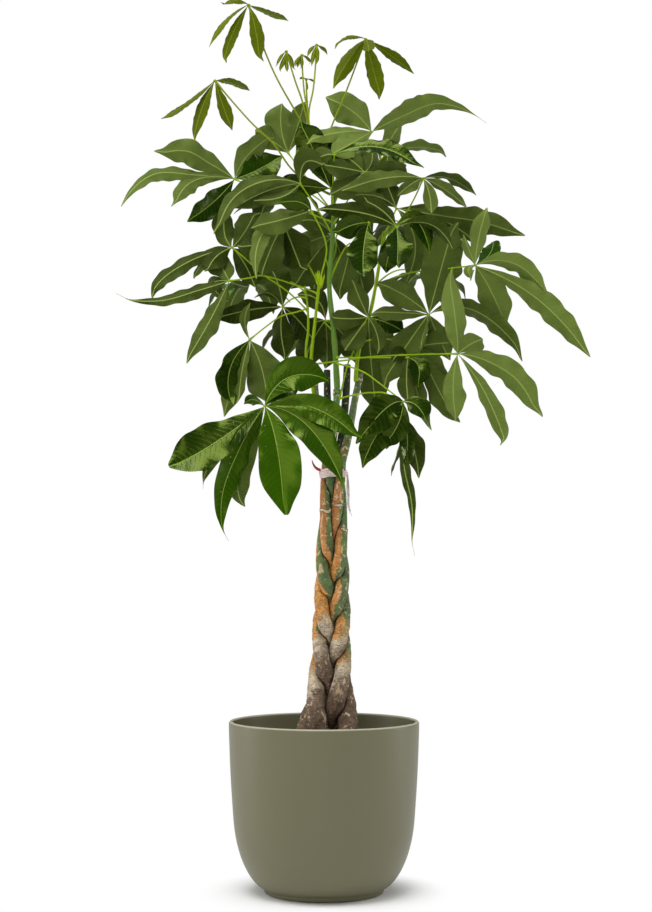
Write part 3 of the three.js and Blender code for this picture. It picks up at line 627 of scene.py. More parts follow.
@dataclass(frozen=True)
class Bark(Finish):
    """Bark of a young braided trunk: corky and grey-brown low down, then a pale crust of lichen,
    then smooth orange-tan cork that gives way to green skin on the shaded side.

    The colour follows four of the trunk's own values: age, its height on a common scale, shaded,
    which is 1 on the green side, crease, which is 1 where trunks touch and where the bark is
    darkened as painted shade, and scar, which is 1 at a leaf scar.
    """

    stem: str  # colour of the free stem above the tie
    lowest: float = 190.0
    highest: float = 700.0
    drift: float = 110.0  # mm by which the patches move the bands of colour

    def stops(self, *rows: tuple[float, str]) -> list[tuple[float, str]]:
        """Turns rows of height and colour into places from 0 to 1, with the stem's colour on top.

        Args:
            rows: The rows. The first is the lowest height, and the others go up.

        Returns:
            Places and colours. The two ends come first, as a new ramp has them.
        """
        span = self.highest - self.lowest
        places = [((height - self.lowest) / span, colour) for height, colour in rows]
        return [places[0], (1.0, self.stem), *places[1:]]

    def cork(self, add: Adder, place: bpy.types.NodeSocket, patches: bpy.types.NodeSocket,
             moved: bpy.types.NodeSocket, shaded: bpy.types.NodeSocket) -> bpy.types.NodeSocket:
        """Adds the bands of colour up the trunk, its green side, blotches and streaks.

        Args:
            add: Adds a node to the material.
            place: The place on the trunk.
            patches: Noise that moves the bands and the edge of the green side.
            moved: The age with the patches added.
            shaded: The trunk's own value.

        Returns:
            The colour.
        """
        half = self.drift / 2
        where = add("MapRange", inputs={
            "Value": moved, "From Min": self.lowest + half, "From Max": self.highest + half})
        brown = add("ValToRGB", inputs={"Fac": where}, stops=self.stops(
            (190, "62503f"), (240, "6c5846"), (276, "766250"), (288, "8a7968"), (294, "a3937c"),
            (314, "b9ab94"), (330, "b29c78"), (337, "b87f42"), (372, "bf8a48"), (430, "bb8144"),
            (470, "a87442"), (556, "916034"), (572, "5c6038"), (600, self.stem)))
        green = add("ValToRGB", inputs={"Fac": where}, stops=self.stops(
            (190, "5e4c3d"), (285, "756250"), (300, "8f806c"), (330, "a89a7c"), (338, "9a7a48"),
            (352, "74764a"), (364, "5c6c44"), (470, "56683e"), (566, "50643a"), (600, self.stem)))
        spread = add("Math", TIMES_PLUS, {0: patches, 1: 1.6, 2: shaded})
        turn = add("MapRange", SMOOTHLY, {"Value": spread, "From Min": 1.3, "From Max": 1.38})
        skin = add("Mix", COLOURS, {0: turn, MIX_A: brown, MIX_B: green})
        # blotches of 5 to 15 mm darken or bleach the cork
        blotches = add("TexNoise", inputs={
            "Vector": place, "Scale": scale_of(11), "Detail": 5.0, "Roughness": 0.7, "Distortion": 0.5})
        blotch = add("MapRange", inputs={
            "Value": blotches, "From Min": 0.36, "From Max": 0.64, "To Min": 0.66, "To Max": 1.25})
        blotched = add("Mix", DARKEN, {0: 1.0, MIX_A: skin, MIX_B: blotch})
        # cream streaks 4 mm wide and 12 mm high show the wood's pale underbark
        tall = add("Mapping", {"vector_type": "POINT"}, {"Vector": place, "Scale": (1.0, 1.0, 0.33)})
        streaks = add("TexNoise", inputs={
            "Vector": tall, "Scale": scale_of(9), "Detail": 3.0, "Distortion": 0.6})
        bare = add("MapRange", SMOOTHLY, {
            "Value": streaks, "From Min": 0.66, "From Max": 0.69, "To Max": 0.6})
        return add("Mix", COLOURS, {0: bare, MIX_A: blotched, MIX_B: "cdb48c"})

    def shader(self, add: Adder) -> bpy.types.NodeSocket:
        """Adds the nodes: the cork, its flakes, cracks and grit, painted shade where trunks touch, and
        the leaf scars.

        Args:
            add: Adds a node to the material.

        Returns:
            The shader's output.
        """
        place = add("TexCoord", out="Object")
        age, shaded, crease, scar = (
            add("Attribute", {"attribute_name": name}, out="Fac")
            for name in ("age", "shaded", "crease", "scar")
        )
        # patches of 10 to 30 mm move the bands of colour up and down
        patches = add("TexNoise", inputs={
            "Vector": place, "Scale": scale_of(22), "Detail": 6.0, "Roughness": 0.68})
        moved = add("Math", TIMES_PLUS, {0: patches, 1: self.drift, 2: age})
        cork = self.cork(add, place, patches, moved, shaded)
        # flakes of 3 to 6 mm where the cork has peeled to its pale underside
        flakes = add("TexNoise", inputs={
            "Vector": place, "Scale": scale_of(6.5), "Detail": 4.0, "Distortion": 0.8})
        peeled = add("MapRange", SMOOTHLY, {
            "Value": flakes, "From Min": 0.6, "From Max": 0.65, "To Max": 0.8})
        flaked = add("Mix", COLOURS, {0: peeled, MIX_A: cork, MIX_B: "c4ae90"})
        # pores and cracks run round the trunk: 5 mm long and under 1 mm high
        flat = add("Mapping", {"vector_type": "POINT"}, {"Vector": place, "Scale": (1.0, 1.0, 6.0)})
        cracks = add("TexNoise", inputs={
            "Vector": flat, "Scale": scale_of(6), "Detail": 3.0, "Roughness": 0.7})
        cracked = add("MapRange", SMOOTHLY, {"Value": cracks, "From Min": 0.55, "From Max": 0.62})
        old = add("MapRange", inputs={
            "Value": moved, "From Min": 400.0, "From Max": 520.0, "To Min": 0.8, "To Max": 0.15})
        shown = add("Math", TIMES, {0: cracked, 1: old})
        lined = add("Mix", COLOURS, {0: shown, MIX_A: flaked, MIX_B: "33291f"})
        # grit of about 1 mm makes the cork look dry
        grit = add("TexNoise", inputs={"Vector": place, "Scale": scale_of(1.4), "Detail": 3.0})
        dirt = add("MapRange", inputs={
            "Value": grit, "From Min": 0.35, "From Max": 0.65, "To Min": 1.0, "To Max": 1.55})
        # painted shade: the colour darkens to an eighth where trunks touch, in the crease between them
        deep = add("MapRange", inputs={"Value": crease, "To Min": 1.0, "To Max": 0.12})
        shade = add("Math", TIMES, {0: dirt, 1: deep})
        # a leaf scar is a pale band between two dark lines
        marked = add("ValToRGB", inputs={"Fac": scar}, stops=[
            (0.0, "8a7a60"), (1.0, "c4b596"), (0.3, "8a7a60"), (0.42, "3f3426"), (0.55, "3f3426"),
            (0.66, "b3a382")])
        held = add("MapRange", SMOOTHLY, {
            "Value": scar, "From Min": 0.25, "From Max": 0.4, "To Max": 0.85})
        scarred = add("Mix", COLOURS, {0: held, MIX_A: lined, MIX_B: marked})
        colour = add("Mix", DARKEN, {0: 1.0, MIX_A: scarred, MIX_B: shade})
        rough_part = add("Math", TIMES_PLUS, {0: shown, 1: -1.5, 2: grit})
        height = add("Math", TIMES_PLUS, {0: flakes, 1: 1.5, 2: rough_part})
        bump = add("Bump", inputs={"Strength": 0.6, "Distance": 1.3 * MM, "Height": height})
        return add("BsdfPrincipled", inputs={
            "Base Color": colour, "Roughness": 0.72, "Specular IOR Level": 0.25, "Normal": bump})


@dataclass(frozen=True)
class Glaze(Finish):
    """Smooth matte glaze on clay, painted paler on the lip as a highlight.

    The pot's own value lip is 1 on the lip, where the highlight is painted.
    """

    body: str
    lip: str
    roughness: float = 0.44

    def shader(self, add: Adder) -> bpy.types.NodeSocket:
        """Adds the nodes.

        Args:
            add: Adds a node to the material.

        Returns:
            The shader's output.
        """
        place = add("TexCoord", out="Object")
        # painted highlight: the lip value mixes in the paler colour along the rim
        thin = add("Attribute", {"attribute_name": "lip"}, out="Fac")
        # pits of about 1 mm roughen the glaze a little
        pits = add("TexNoise", inputs={"Vector": place, "Scale": scale_of(1.2), "Detail": 2.0})
        colour = add("Mix", COLOURS, {0: thin, MIX_A: self.body, MIX_B: self.lip})
        bump = add("Bump", inputs={"Strength": 0.08, "Distance": 0.2 * MM, "Height": pits})
        return add("BsdfPrincipled", inputs={
            "Base Color": colour, "Roughness": self.roughness, "Specular IOR Level": 0.35,
            "Normal": bump})


@dataclass(frozen=True)
class Grained(Finish):
    """A dull surface whose colour and relief come from grains of one size.

    It serves peat soil, bark crumbs, cut wood, dried bud scales, raffia tape and its thread.
    """

    dark: str
    light: str
    grain: float  # size of a grain in mm
    relief: float  # depth of the grain in mm
    roughness: float

    def shader(self, add: Adder) -> bpy.types.NodeSocket:
        """Adds the nodes.

        Args:
            add: Adds a node to the material.

        Returns:
            The shader's output.
        """
        place = add("TexCoord", out="Object")
        grains = add("TexNoise", inputs={
            "Vector": place, "Scale": scale_of(self.grain), "Detail": 4.0, "Roughness": 0.6})
        spread = add("MapRange", SMOOTHLY, {"Value": grains, "From Min": 0.3, "From Max": 0.7})
        colour = add("Mix", COLOURS, {0: spread, MIX_A: self.dark, MIX_B: self.light})
        bump = add("Bump", inputs={
            "Strength": 0.6, "Distance": self.relief * MM, "Height": grains})
        return add("BsdfPrincipled", inputs={
            "Base Color": colour, "Roughness": self.roughness, "Normal": bump})


# Braid: every trunk swings from side to side and, twice as often, from front to back, a fifth of a
# turn after the one before it. Columns: height, turn in degrees, middle X, reach, radius
BRAID = np.array([
    [188, 290, 5, 31, 14],
    [212, 262, 5.5, 28.4, 13.3],
    [232, 243, 6.5, 24.6, 12.8],
    [252, 227, 7.5, 20.8, 11.9],
    [280, 200, 8.5, 18.2, 10.8],
    [320, 151, 9.5, 16.2, 9.8],
    [352, 108, 10, 16, 9.4],
    [380, 72, 10.5, 15, 9],
    [425, 2, 11, 14, 8.5],
    [460, -36, 10.8, 12.6, 8.1],
    [500, -62, 12, 11.4, 7.3],
    [562, -112, 13, 10, 6.4],
])


def braid_place(trunk: int, heights: np.ndarray) -> np.ndarray:
    """Place and radius of a trunk in the braid.

    X = middle + reach * sin(turn) and Y = DEPTH_REACH * reach * sin(2 * turn), where the turn of
    each trunk is a fifth of a circle ahead of the one before it.

    Args:
        trunk: The trunk's number, from 0.
        heights: Where to read it.

    Returns:
        Rows of X, Y and radius.
    """
    turn, middle, reach, radius = smooth(BRAID, heights).T
    angle = np.radians(turn) + FULL_TURN * trunk / TRUNKS
    return np.stack([middle + reach * np.sin(angle), DEPTH_REACH * reach * np.sin(2 * angle), radius], -1)


@dataclass
class Stub:
    """A dried bud or twig stump on a trunk: its places, as the eye sees them, and its radius."""

    places: list[list[float]]
    radius: float
    rows: int = 9
    sides: int = 10
    narrowing: float = 0.75  # loss of radius from its root to its tip

    def rings(self) -> np.ndarray:
        """Its rings: a tube that narrows with the square of the way along it."""
        t = np.linspace(0, 1, self.rows)
        return tube(spline(seen(self.places), t), self.radius * (1 - self.narrowing * t**2), self.sides)


@dataclass
class Trunk:
    """One of the braided trunks, from below the soil to the cut end of its free stem.

    Its bark changes at the heights corky and crusted, which age tells the material in the heights
    of a common scale: CORKY and CRUSTED.
    """

    number: int
    name: str
    stem_rows: list[list[float]]  # height, X, Y and radius above the tie
    stem_colour: str
    corky: float  # height where its dark foot ends
    crusted: float  # height where its pale crust ends
    green: list[list[float]] = field(default_factory=list)  # height and greenness, up to 1
    knots: list[float] = field(default_factory=list)  # heights of the leaf scars round it
    stubs: list[Stub] = field(default_factory=list)
    sides: int = 40
    step: float = 2.2
    sunk: float = 20.0  # length below the soil's top
    bevel: float = 0.8  # of the cut end
    knot_rise: float = 0.9
    knot_half_height: float = 2.4
    scar_half_height: float = 3.0
    scar_wander: float = 2.4  # mm that a scar strays up and down
    crease_shade_reach: float = 1.6  # mm over which the painted shade beside a neighbour fades
    lumps: tuple[tuple[float, float], ...] = ((0.45, 17.0), (0.3, 5.0))  # height and width
    smoother: tuple[float, float] = (300.0, 460.0)  # heights between which the lumps get lower
    above_all: float = 800.0

    def axis(self, heights: np.ndarray) -> tuple[np.ndarray, np.ndarray]:
        """Middle and radius of the trunk: braided up to the tie, then running up free.

        Args:
            heights: Where to read it.

        Returns:
            Rows of X, Y and Z, and the radii.
        """
        low = braid_place(self.number, np.clip(heights, SOIL_TOP, BRAID_TOP))
        at_tie = braid_place(self.number, np.array([BRAID_TOP]))[0]
        free = smooth(np.array([[BRAID_TOP, *at_tie], *self.stem_rows]), heights)
        place = np.where(heights[:, None] > BRAID_TOP, free, low)
        return np.column_stack([place[:, :2], heights]), place[:, 2]

    def surface(self, trunks: list[Trunk]) -> tuple[np.ndarray, np.ndarray, np.ndarray]:
        """The skin: a level oval, stretched along the lean and pressed flat by its neighbours.

        The oval's reach is radius / sqrt(1 - lean share * (way . lean) ** 2). A neighbour limits
        it to (distance ** 2 - gap ** 2) / (2 * (gap - way . apart)). Scars and a random relief of
        a few tenths of a millimetre, stronger where the bark is old, are added to it.

        Args:
            trunks: All the trunks.

        Returns:
            The rings, how far each of their points faces right, and how near it is to a crease, where
            the bark is painted with shade: 1 where it touches a neighbour, falling to 0 some millimetres
                away.
        """
        top = self.stem_rows[-1][0]
        body = np.arange(SOIL_TOP - self.sunk, top - 1, self.step)
        heights = np.append(body, [top - self.bevel, top])
        centre, radius = self.axis(heights)
        upper = self.axis(np.minimum(heights + 1, top))[0]
        lean = (upper - self.axis(heights - 1)[0])[:, :2] / 2
        lean[heights <= SOIL_TOP] = 0
        square = (lean**2).sum(-1)
        angle = angles(self.sides)
        way = np.stack([np.cos(angle), np.sin(angle)], -1)
        along = lean @ way.T / np.sqrt(np.maximum(square, 1e-9))[:, None]
        reach = radius[:, None] / np.sqrt(1 - (square / (1 + square))[:, None] * along**2)
        others = [
            (*other.axis(heights), (heights < other.stem_rows[-1][0])[:, None])
            for other in trunks if other is not self
        ]
        for middle, _, there in others:
            apart = (centre - middle)[:, :2]
            facing = SQUEEZE_GAP - apart @ way.T
            gap = ((apart**2).sum(-1) - SQUEEZE_GAP**2)[:, None]
            limit = np.where(facing > LEAST, gap / (2 * np.maximum(facing, LEAST)), np.inf)
            reach = np.where(there, np.minimum(reach, limit), reach)
        # painted shade: how near each point is to a neighbour, which darkens the bark there
        crease = np.zeros(reach.shape)
        for middle, thick, there in others:
            apart = centre[:, None, :2] + reach[..., None] * way - middle[:, None, :2]
            clear = np.linalg.norm(apart, axis=-1) - thick[:, None]
            crease = np.maximum(crease, there * np.exp(-np.maximum(clear, 0) / self.crease_shade_reach))
        for knot in self.knots:
            reach = reach + self.knot_rise * hump(heights[:, None] - knot, self.knot_half_height)
        reach[-1] -= self.bevel
        spoke = np.zeros((len(heights), self.sides, 3))
        spoke[..., :2] = reach[..., None] * way
        rings = centre[:, None] + spoke
        old = 1.2 - step_up(heights, *self.smoother)[:, None]
        (high, wide), (low, narrow) = self.lumps
        relief = high * rough(rings, wide, SEED + self.number) + low * rough(rings, narrow, SEED + 9)
        rings[..., :2] += (relief * old)[..., None] * way
        return rings, np.broadcast_to(way[:, 0], reach.shape), crease

    def build(self, trunks: list[Trunk]) -> bpy.types.Object:
        """Makes the trunk with its scars and stubs, and dresses it.

        A scar is a hump along a wandering line at the height of a knot. It fades here and there.

        Args:
            trunks: All the trunks.

        Returns:
            The trunk.
        """
        skin = Skin()
        rings, facing, crease = self.surface(trunks)
        height = rings[..., 2]
        age = np.interp(height, [0, self.corky, self.crusted, BRAID_TOP, self.above_all],
                        [0, CORKY, CRUSTED, BRAID_TOP, self.above_all])
        shaded = 0.5 + 0.5 * facing
        if self.green:
            low, more = np.array(self.green).T
            shaded = shaded + np.interp(height, low[::-1], more[::-1])
        shaken = height + self.scar_wander * rough(rings, 11, SEED + 3)
        scar = 0 * height
        for knot in self.knots:
            scar = scar + hump(shaken - knot, self.scar_half_height)
        scar = scar * step_up(rough(rings, 15, SEED + 5), -0.75, -0.1)
        skin.add(rings, final_slot=1, age=age, shaded=shaded, crease=crease, scar=scar)
        for stub in self.stubs:
            skin.add(stub.rings(), 2)
        bark = Bark(f"bark_{self.name}", self.stem_colour)
        return skin.make(f"{self.name}_bark", [bark, CUT_WOOD, DRIED_BUD])


# sawn end grain, dull and pale, and papery red scales
CUT_WOOD = Grained("cut_wood", "6b5a40", "b59f78", 1.2, 0.2, 0.8)
DRIED_BUD = Grained("dried_bud_scales", "8a2c1c", "c4503c", 1.5, 0.3, 0.6)


def all_trunks() -> list[Trunk]:
    """Names and sizes the trunks.

    Returns:
        The five trunks in the order in which the braid numbers them.
    """
    return [
        Trunk(0, "trunk_left", [[600, -7, -1, 5.2], [650, -11, 0, 4.6], [693, -15, 1, 4.3]],
              "6d7f52", 310, 335, knots=[498, 668],
              stubs=[Stub([[-5, 552, -2], [-12, 556, -4], [-16, 565, -5]], 2.0)]),
        Trunk(1, "trunk_centre", [[600, 13, -8, 5], [640, 16.5, -9.5, 4.4], [659, 17.5, -9.5, 5.2]],
              "557f43", 256, 290, green=[[500, 0.9], [480, 0.2], [360, 0]], knots=[653]),
        # painted shade: this rear trunk's free stem takes a near-black green, as it lies in the shade
        # behind the others
        Trunk(2, "trunk_rear_right", [[600, 24, 8, 5.3], [650, 29, 10, 5], [694, 31, 11, 4.8]],
              "2f3a24", 310, 338, green=[[484, 0.9], [474, 0], [300, 0]], knots=[471]),
        Trunk(3, "trunk_right", [[600, 33, -3, 5], [640, 40, -1, 4.6], [682, 48.5, 1, 4.3]],
              "5f6f4a", 334, 358, green=[[540, 0], [510, -0.25], [380, -0.5]], knots=[505, 671]),
        # painted shade: this rear trunk's free stem takes a near-black green, as it lies in the shade
        # behind the others
        Trunk(4, "trunk_rear_left", [[600, 7, 8, 5], [650, 4.5, 11, 4.7], [687, 4, 12, 4.4]],
              "29331f", 274, 300, green=[[560, 0.6], [410, 0.45], [360, 0]], knots=[610]),
    ]


@dataclass
class Tie:
    """A raffia tape wound round the tops of the trunks, with its frayed end hanging."""

    turns: float = 2.7
    start: float = 0.12  # of a turn, from the right
    rise: float = 3.2  # of its middle above the lowest place
    sway: float = 0.5  # up and down, a little over three times a turn
    rows_per_turn: int = 72
    width: float = 6.0
    thick: float = 0.9
    lap: float = 0.45  # by which each turn lies farther out than the last
    clear: float = 1.1  # from the bark to the middle of the tape
    thread: float = 1.0  # width of the coloured thread that runs along it
    thread_thick: float = 0.5
    sides: int = 16
    wrinkle: float = 0.22
    wrinkle_length: float = 5.0
    fibres: int = 6
    fibre_rows: int = 22
    fibre_radii: tuple[float, float] = (0.75, 0.25)  # at the tape and at the end
    fibre_path: tuple[tuple[float, ...], ...] = (
        (31, 549, -3), (33.5, 522, -6), (33.5, 507, -5), (36, 494, -4))
    fibre_spread: tuple[float, ...] = (1.6, 3.0, 1.0)  # by which they part, in X, height and depth

    def path(self, trunks: list[Trunk]) -> tuple[np.ndarray, np.ndarray]:
        """Middle of the tape, taut: at each angle it lies on the trunk that reaches farthest.

        It climbs as it turns, each turn lying on the last.

        Args:
            trunks: The trunks that it holds.

        Returns:
            The places, and the way out from the middle at each.
        """
        turn = np.linspace(0, self.turns, int(self.turns * self.rows_per_turn))
        angle = FULL_TURN * (turn + self.start)
        out = np.stack([np.cos(angle), np.sin(angle), 0 * angle], -1)
        height = TIE_LOW + self.rise + (TIE_HIGH - TIE_LOW - self.width) * turn / self.turns
        height = height + self.sway * np.sin(3.1 * angle)
        axes = [trunk.axis(height) for trunk in trunks]
        reach = np.stack([(centre * out).sum(-1) + radius for centre, radius in axes])
        places = np.stack([centre + radius[:, None] * out for centre, radius in axes])
        places = places[reach.argmax(0), np.arange(len(turn))]
        return places + (self.lap * turn + self.clear)[:, None] * out, out

    def build(self, trunks: list[Trunk]) -> bpy.types.Object:
        """Makes the tape, its coloured thread and the frayed end, and dresses them.

        The section is a flat superellipse: thick / 2 * cos(a) out and width / 2 * sin(a) ** 0.5 up.
        It wrinkles a little.

        Args:
            trunks: The trunks that it holds.

        Returns:
            The tie.
        """
        skin = Skin()
        path, out = self.path(trunks)
        around = angles(self.sides)
        flat = np.sign(np.sin(around)) * np.abs(np.sin(around)) ** 0.5
        tape, thread = (self.width, self.thick, 0.0, 0), (self.thread, self.thread_thick, 0.5, 1)
        for width, thick, proud, slot in (tape, thread):
            section = (out[:, None] * (proud + thick / 2 * np.cos(around))[:, None]
                       + UP * (width / 2 * flat)[:, None])
            rings = path[:, None] + section
            wrinkles = self.wrinkle * rough(rings, self.wrinkle_length, SEED)
            rings = rings + wrinkles[..., None] * out[:, None]
            skin.add(rings, slot)
        draw = np.random.default_rng(SEED)
        radii = np.linspace(*self.fibre_radii, self.fibre_rows)
        for _ in range(self.fibres):
            ends = np.array(self.fibre_path, float)
            ends[1:] += draw.normal(0, self.fibre_spread, (3, 3))
            fibre = spline(seen(ends), np.linspace(0, 1, self.fibre_rows))
            skin.add(tube(fibre, radii, 6), 0)
        return skin.make("tie_tape", [
            Grained("raffia_tape", "b9a79f", "e6dbd4", 1.8, 0.25, 0.7),
            Grained("dyed_thread", "b98a92", "d3a5ac", 1.0, 0.15, 0.7),
        ])


@dataclass
class Pot:
    """A round cover pot with a thin rim, a rounded base and a small foot."""

    sides: int = 160
    foot: float = 78.6
    lip: float = 2.9  # half the thickness of the rim
    floor: float = 9.0  # thickness of the base
    belly_rows: int = 49
    rim_rows: int = 12
    inside_rows: int = 30

    def profile(self) -> np.ndarray:
        """The outline that is carried round: a rounded foot, two smooth curves and a half circle.

        Returns:
            Radius and height, from the foot up the outside, over the rim and down the inside.
        """
        foot = [(60, 0), (self.foot - 3.4, 0.1), (self.foot - 1.2, 0.9), (self.foot, 3.0),
                (self.foot + 0.2, 6.2), (self.foot + 0.4, 6.9)]
        belly = spline(np.array([
            [80.4, 7.2], [91, 14.8], [101.5, 30], [110.5, 51.5], [117, 80], [120.5, 120], [123, 160],
            [124.6, 200], [POT_RIM, 216.5]], float), np.linspace(0, 1, self.belly_rows))
        turn = np.linspace(0, math.pi, self.rim_rows)
        middle = np.array([POT_RIM, POT_HEIGHT]) - self.lip
        rim = middle + self.lip * np.column_stack([np.cos(turn), np.sin(turn)])
        inside = spline(np.array([
            [119.4, 214], [116.9, 170], [114.5, 120], [110.8, 80], [95, 30], [78, self.floor]], float),
            np.linspace(0, 1, self.inside_rows))
        return np.concatenate([foot, belly, rim, inside, [(40, self.floor), (0.5, self.floor)]])

    def build(self) -> bpy.types.Object:
        """Makes the pot as its profile carried round the axis, and dresses it.

        Returns:
            The pot.
        """
        radius, height = self.profile().T
        skin = Skin()
        # the lip value marks where the glaze is painted paler, as a highlight
        skin.add(turned(radius, height, self.sides),
                 lip=step_up(height, POT_HEIGHT - 2.2, POT_HEIGHT - 0.6))
        return skin.make("pot_wall", [Glaze("matte_glazed_clay", "6d6a50", "b4b29c")])


@dataclass
class Soil:
    """Potting soil: a heap of peat crumbs that fills the pot up to a little below its rim."""

    rings: int = 84
    sides: int = 168
    crumbs: int = 420
    lumps: tuple[tuple[float, float], ...] = ((1.1, 26), (0.8, 8), (0.5, 3.5))  # height and width
    crumb_sides: int = 6
    crumb_radius: tuple[float, float] = (0.8, 2.6)
    crumb_squash: tuple[float, float] = (0.5, 0.9)
    crumb_stretch: tuple[float, float] = (0.7, 1.3)  # of its length, width and height
    edge: float = 5.0  # bare of crumbs beside the wall
    bark_share: float = 0.16  # of the crumbs

    def lumpy_disc(self) -> np.ndarray:
        """Rings of the soil's top, side and underside.

        The top is SOIL_TOP + random relief on a disc. It falls off beside the wall.

        Returns:
            The rings, from the middle of the top outwards and down.
        """
        radius = np.concatenate([
            np.linspace(1.5, SOIL_EDGE - 2, self.rings), [SOIL_EDGE - 0.6, SOIL_EDGE - 1, 79]])
        height = np.concatenate([np.full(self.rings, SOIL_TOP - 0.8), [SOIL_TOP - 4, 150, 12]])
        rings = turned(radius, height, self.sides)
        top = rings[: self.rings]
        lumps = enumerate(self.lumps, SEED)
        top[..., 2] += sum(high * rough(top, wide, seed) for seed, (high, wide) in lumps)
        return rings

    def build(self) -> bpy.types.Object:
        """Makes the soil, scatters crumbs on it, squashed balls of 1 to 5 mm, and dresses it.

        Returns:
            The soil.
        """
        skin = Skin()
        skin.add(self.lumpy_disc())
        draw = np.random.default_rng(SEED)
        for _ in range(self.crumbs):
            place = draw.uniform(0, FULL_TURN)
            far = (SOIL_EDGE - self.edge) * math.sqrt(draw.uniform(0.02, 1))
            middle = np.array([far * math.cos(place), far * math.sin(place), SOIL_TOP - 0.4])
            crumb = ball(np.zeros(3), 1.0, self.crumb_sides, draw.uniform(*self.crumb_squash))
            crumb = crumb * draw.uniform(*self.crumb_radius) * draw.uniform(*self.crumb_stretch, 3)
            skin.add(middle + crumb, int(draw.random() < self.bark_share))
        return skin.make("soil_heap", [
            Grained("peat_soil", "1d140d", "43301f", 2.2, 1.0, 0.95),
            Grained("bark_crumbs", "4a3522", "7a5f40", 1.5, 0.5, 0.9),
        ])


# Leaves. Places are X and Z as the eye sees them on the plane Y = 0, with a depth behind it


class Surface(IntEnum):
    """Material slots of a leafy shoot."""

    UPPER = 0
    UNDER = 1
    STALK = 2
    STEM = 3
    DROP = 4


@dataclass
class Stem:
    """A leafy shoot's own stem: its places, and its radius at the root and at the tip."""

    path: list[list[float]]
    thick: float
    thin: float
    rows: int = 90
    sides: int = 14
    swelling: float = 0.06  # of the nodes along it, as a share of its radius
    nodes: float = 37.0  # radians of the wave that they follow, from root to tip

    def rings(self) -> np.ndarray:
        """Its rings: radius * (1 + swelling * sin(nodes * t)) at t from 0 to 1.

        Returns:
            The rings, indexed by ring, by point and by X, Y and Z.
        """
        t = np.linspace(0, 1, self.rows)
        radius = self.thick + (self.thin - self.thick) * t
        radius = radius * (1 + self.swelling * np.sin(self.nodes * t))
        return tube(spline(seen(self.path), t), radius, self.sides)


@dataclass
class Blade:
    """One leaflet: the depth of its tip, its width, its roll about its rib and its rib's places.

    A roll of 0 shows the eye its underside, and a roll of 180 its upper side.
    """

    depth: float
    width: float
    roll: float
    places: np.ndarray
    taper: float = TAPER


@dataclass
class Leaf:
    """A stalk from root to hub through further places, with a fan of blades."""

    root: list[float]
    via: list[list[float]]
    hub: list[float]
    blades: list[Blade]
    tone: float | None = None  # its tone, if it doesn't follow from its place; partly its colour and partly painted light and shade
    drops: int = 0  # drops of water on each blade


@dataclass
class BackLeaf:
    """A leaf on the far side, whose blades spread like an umbrella.

    Each blade runs out from the hub and bends down, through a middle and a tip that are given as
    shares of its length: out and down.
    """

    root: list[float]
    hub: list[float]
    length: float
    count: int = 5
    spread: float = 112.0  # degrees that the outer blades turn back from the stalk's way
    arch: float = 14.0  # rise of the stalk above a straight line
    shortening: float = 0.35  # loss of length of the outer blades
    slenderness: float = 0.38  # width of a blade against its length
    middle: tuple[float, float] = (0.47, 0.02)
    tip: tuple[float, float] = (0.82, 0.42)

    def stalk(self) -> np.ndarray:
        """Places along its stalk: root, middle and hub."""
        root, hub = seen([self.root, self.hub])
        return np.array([root, (root + hub) / 2 + self.arch * UP, hub])

    def fan(self) -> list[Blade]:
        """Its blades, turned evenly from one side of the stalk's way to the other.

        Returns:
            The blades, with the places in X, Y and Z.
        """
        root, _, hub = self.stalk()
        out = unit((hub - root) * [1, 1, 0])
        blades = []
        for side in np.linspace(-1, 1, self.count):
            turn = math.radians(self.spread * side)
            c, s = math.cos(turn), math.sin(turn)
            way = np.array([out[0] * c - out[1] * s, out[0] * s + out[1] * c, 0])
            reach = self.length * (1 - self.shortening * abs(side))
            places = [hub + way * reach * far - UP * reach * low for far, low in (self.middle, self.tip)]
            blades.append(Blade(0, reach * self.slenderness, 0, np.array([hub, *places])))
        return blades


def blade(depth: float, width: float, roll: float, *places: float, taper: float = TAPER) -> Blade:
    """Makes a blade from the X and Z of the places along its rib, the tip last."""
    return Blade(depth, width, roll, np.reshape(places, (-1, 2)), taper)


LEFT_STEMS = [
    Stem([[0.8, 568, -12], [-11, 632, -13], [-17, 693, -13], [-12, 750, -12], [-6, 806, -12]],
         thick=2.4, thin=2),
]
OUTER_STEMS = [
    Stem([[-19.3, 680, -3.5], [-24, 710, -5], [-21, 740, -5], [-22, 769, -5], [-26, 798, -4]],
         thick=2, thin=1.4),
]

LEFT_LEAVES = [
    # long level stalk to the right, in front of the stems
    Leaf([-15, 693, -14], [[33, 699], [62, 703], [120, 706]], [178, 707, -58], [
        blade(-88, 35, 20, 219, 697, 260, 669, 284, 620),
        blade(-84, 23, 20, 209, 665, 231, 618, 242, 583),
        blade(-64, 31, 20, 176, 745, 165, 825),
        blade(-98, 30, 20, 195, 720, 212, 727),
        blade(-46, 30, 20, 172, 662, 177, 616),
    ], tone=0.85),
    # leaf with the long thin tail at the left
    Leaf([-9, 788, -12], [[-36, 799], [-80, 812], [-100, 809]], [-127, 805, -22], [
        blade(-48, 21, 30, -168, 792, -220, 778, -281, 783, taper=TAIL),
        blade(-46, 27, 25, -152, 752, -186, 694),
        blade(4, 34, 15, -136, 822, -150, 845),
        blade(14, 21, 30, -148, 800, -129, 776),
        blade(6, 19, 50, -113, 800, -99, 797),
    ]),
    # front leaf with two blades arching to the left
    Leaf([-6, 806, -12], [[2, 836], [3, 852], [-2, 870]], [-17, 900, -80], [
        blade(-104, 34, 20, -55, 888, -98, 878),
        blade(-104, 24, 25, -64, 886, -88, 856, -90, 806),
        blade(-100, 26, 160, -34, 912, -62, 910),
    ], tone=0.45),
    Leaf([-7, 800, -12], [[-28, 840]], [-54, 884, -36], [
        blade(-30, 46, 15, -42, 852, -28, 816),
        blade(-20, 46, 15, -82, 858, -118, 852),
        blade(-46, 40, 20, -72, 846, -84, 812),
    ]),
]

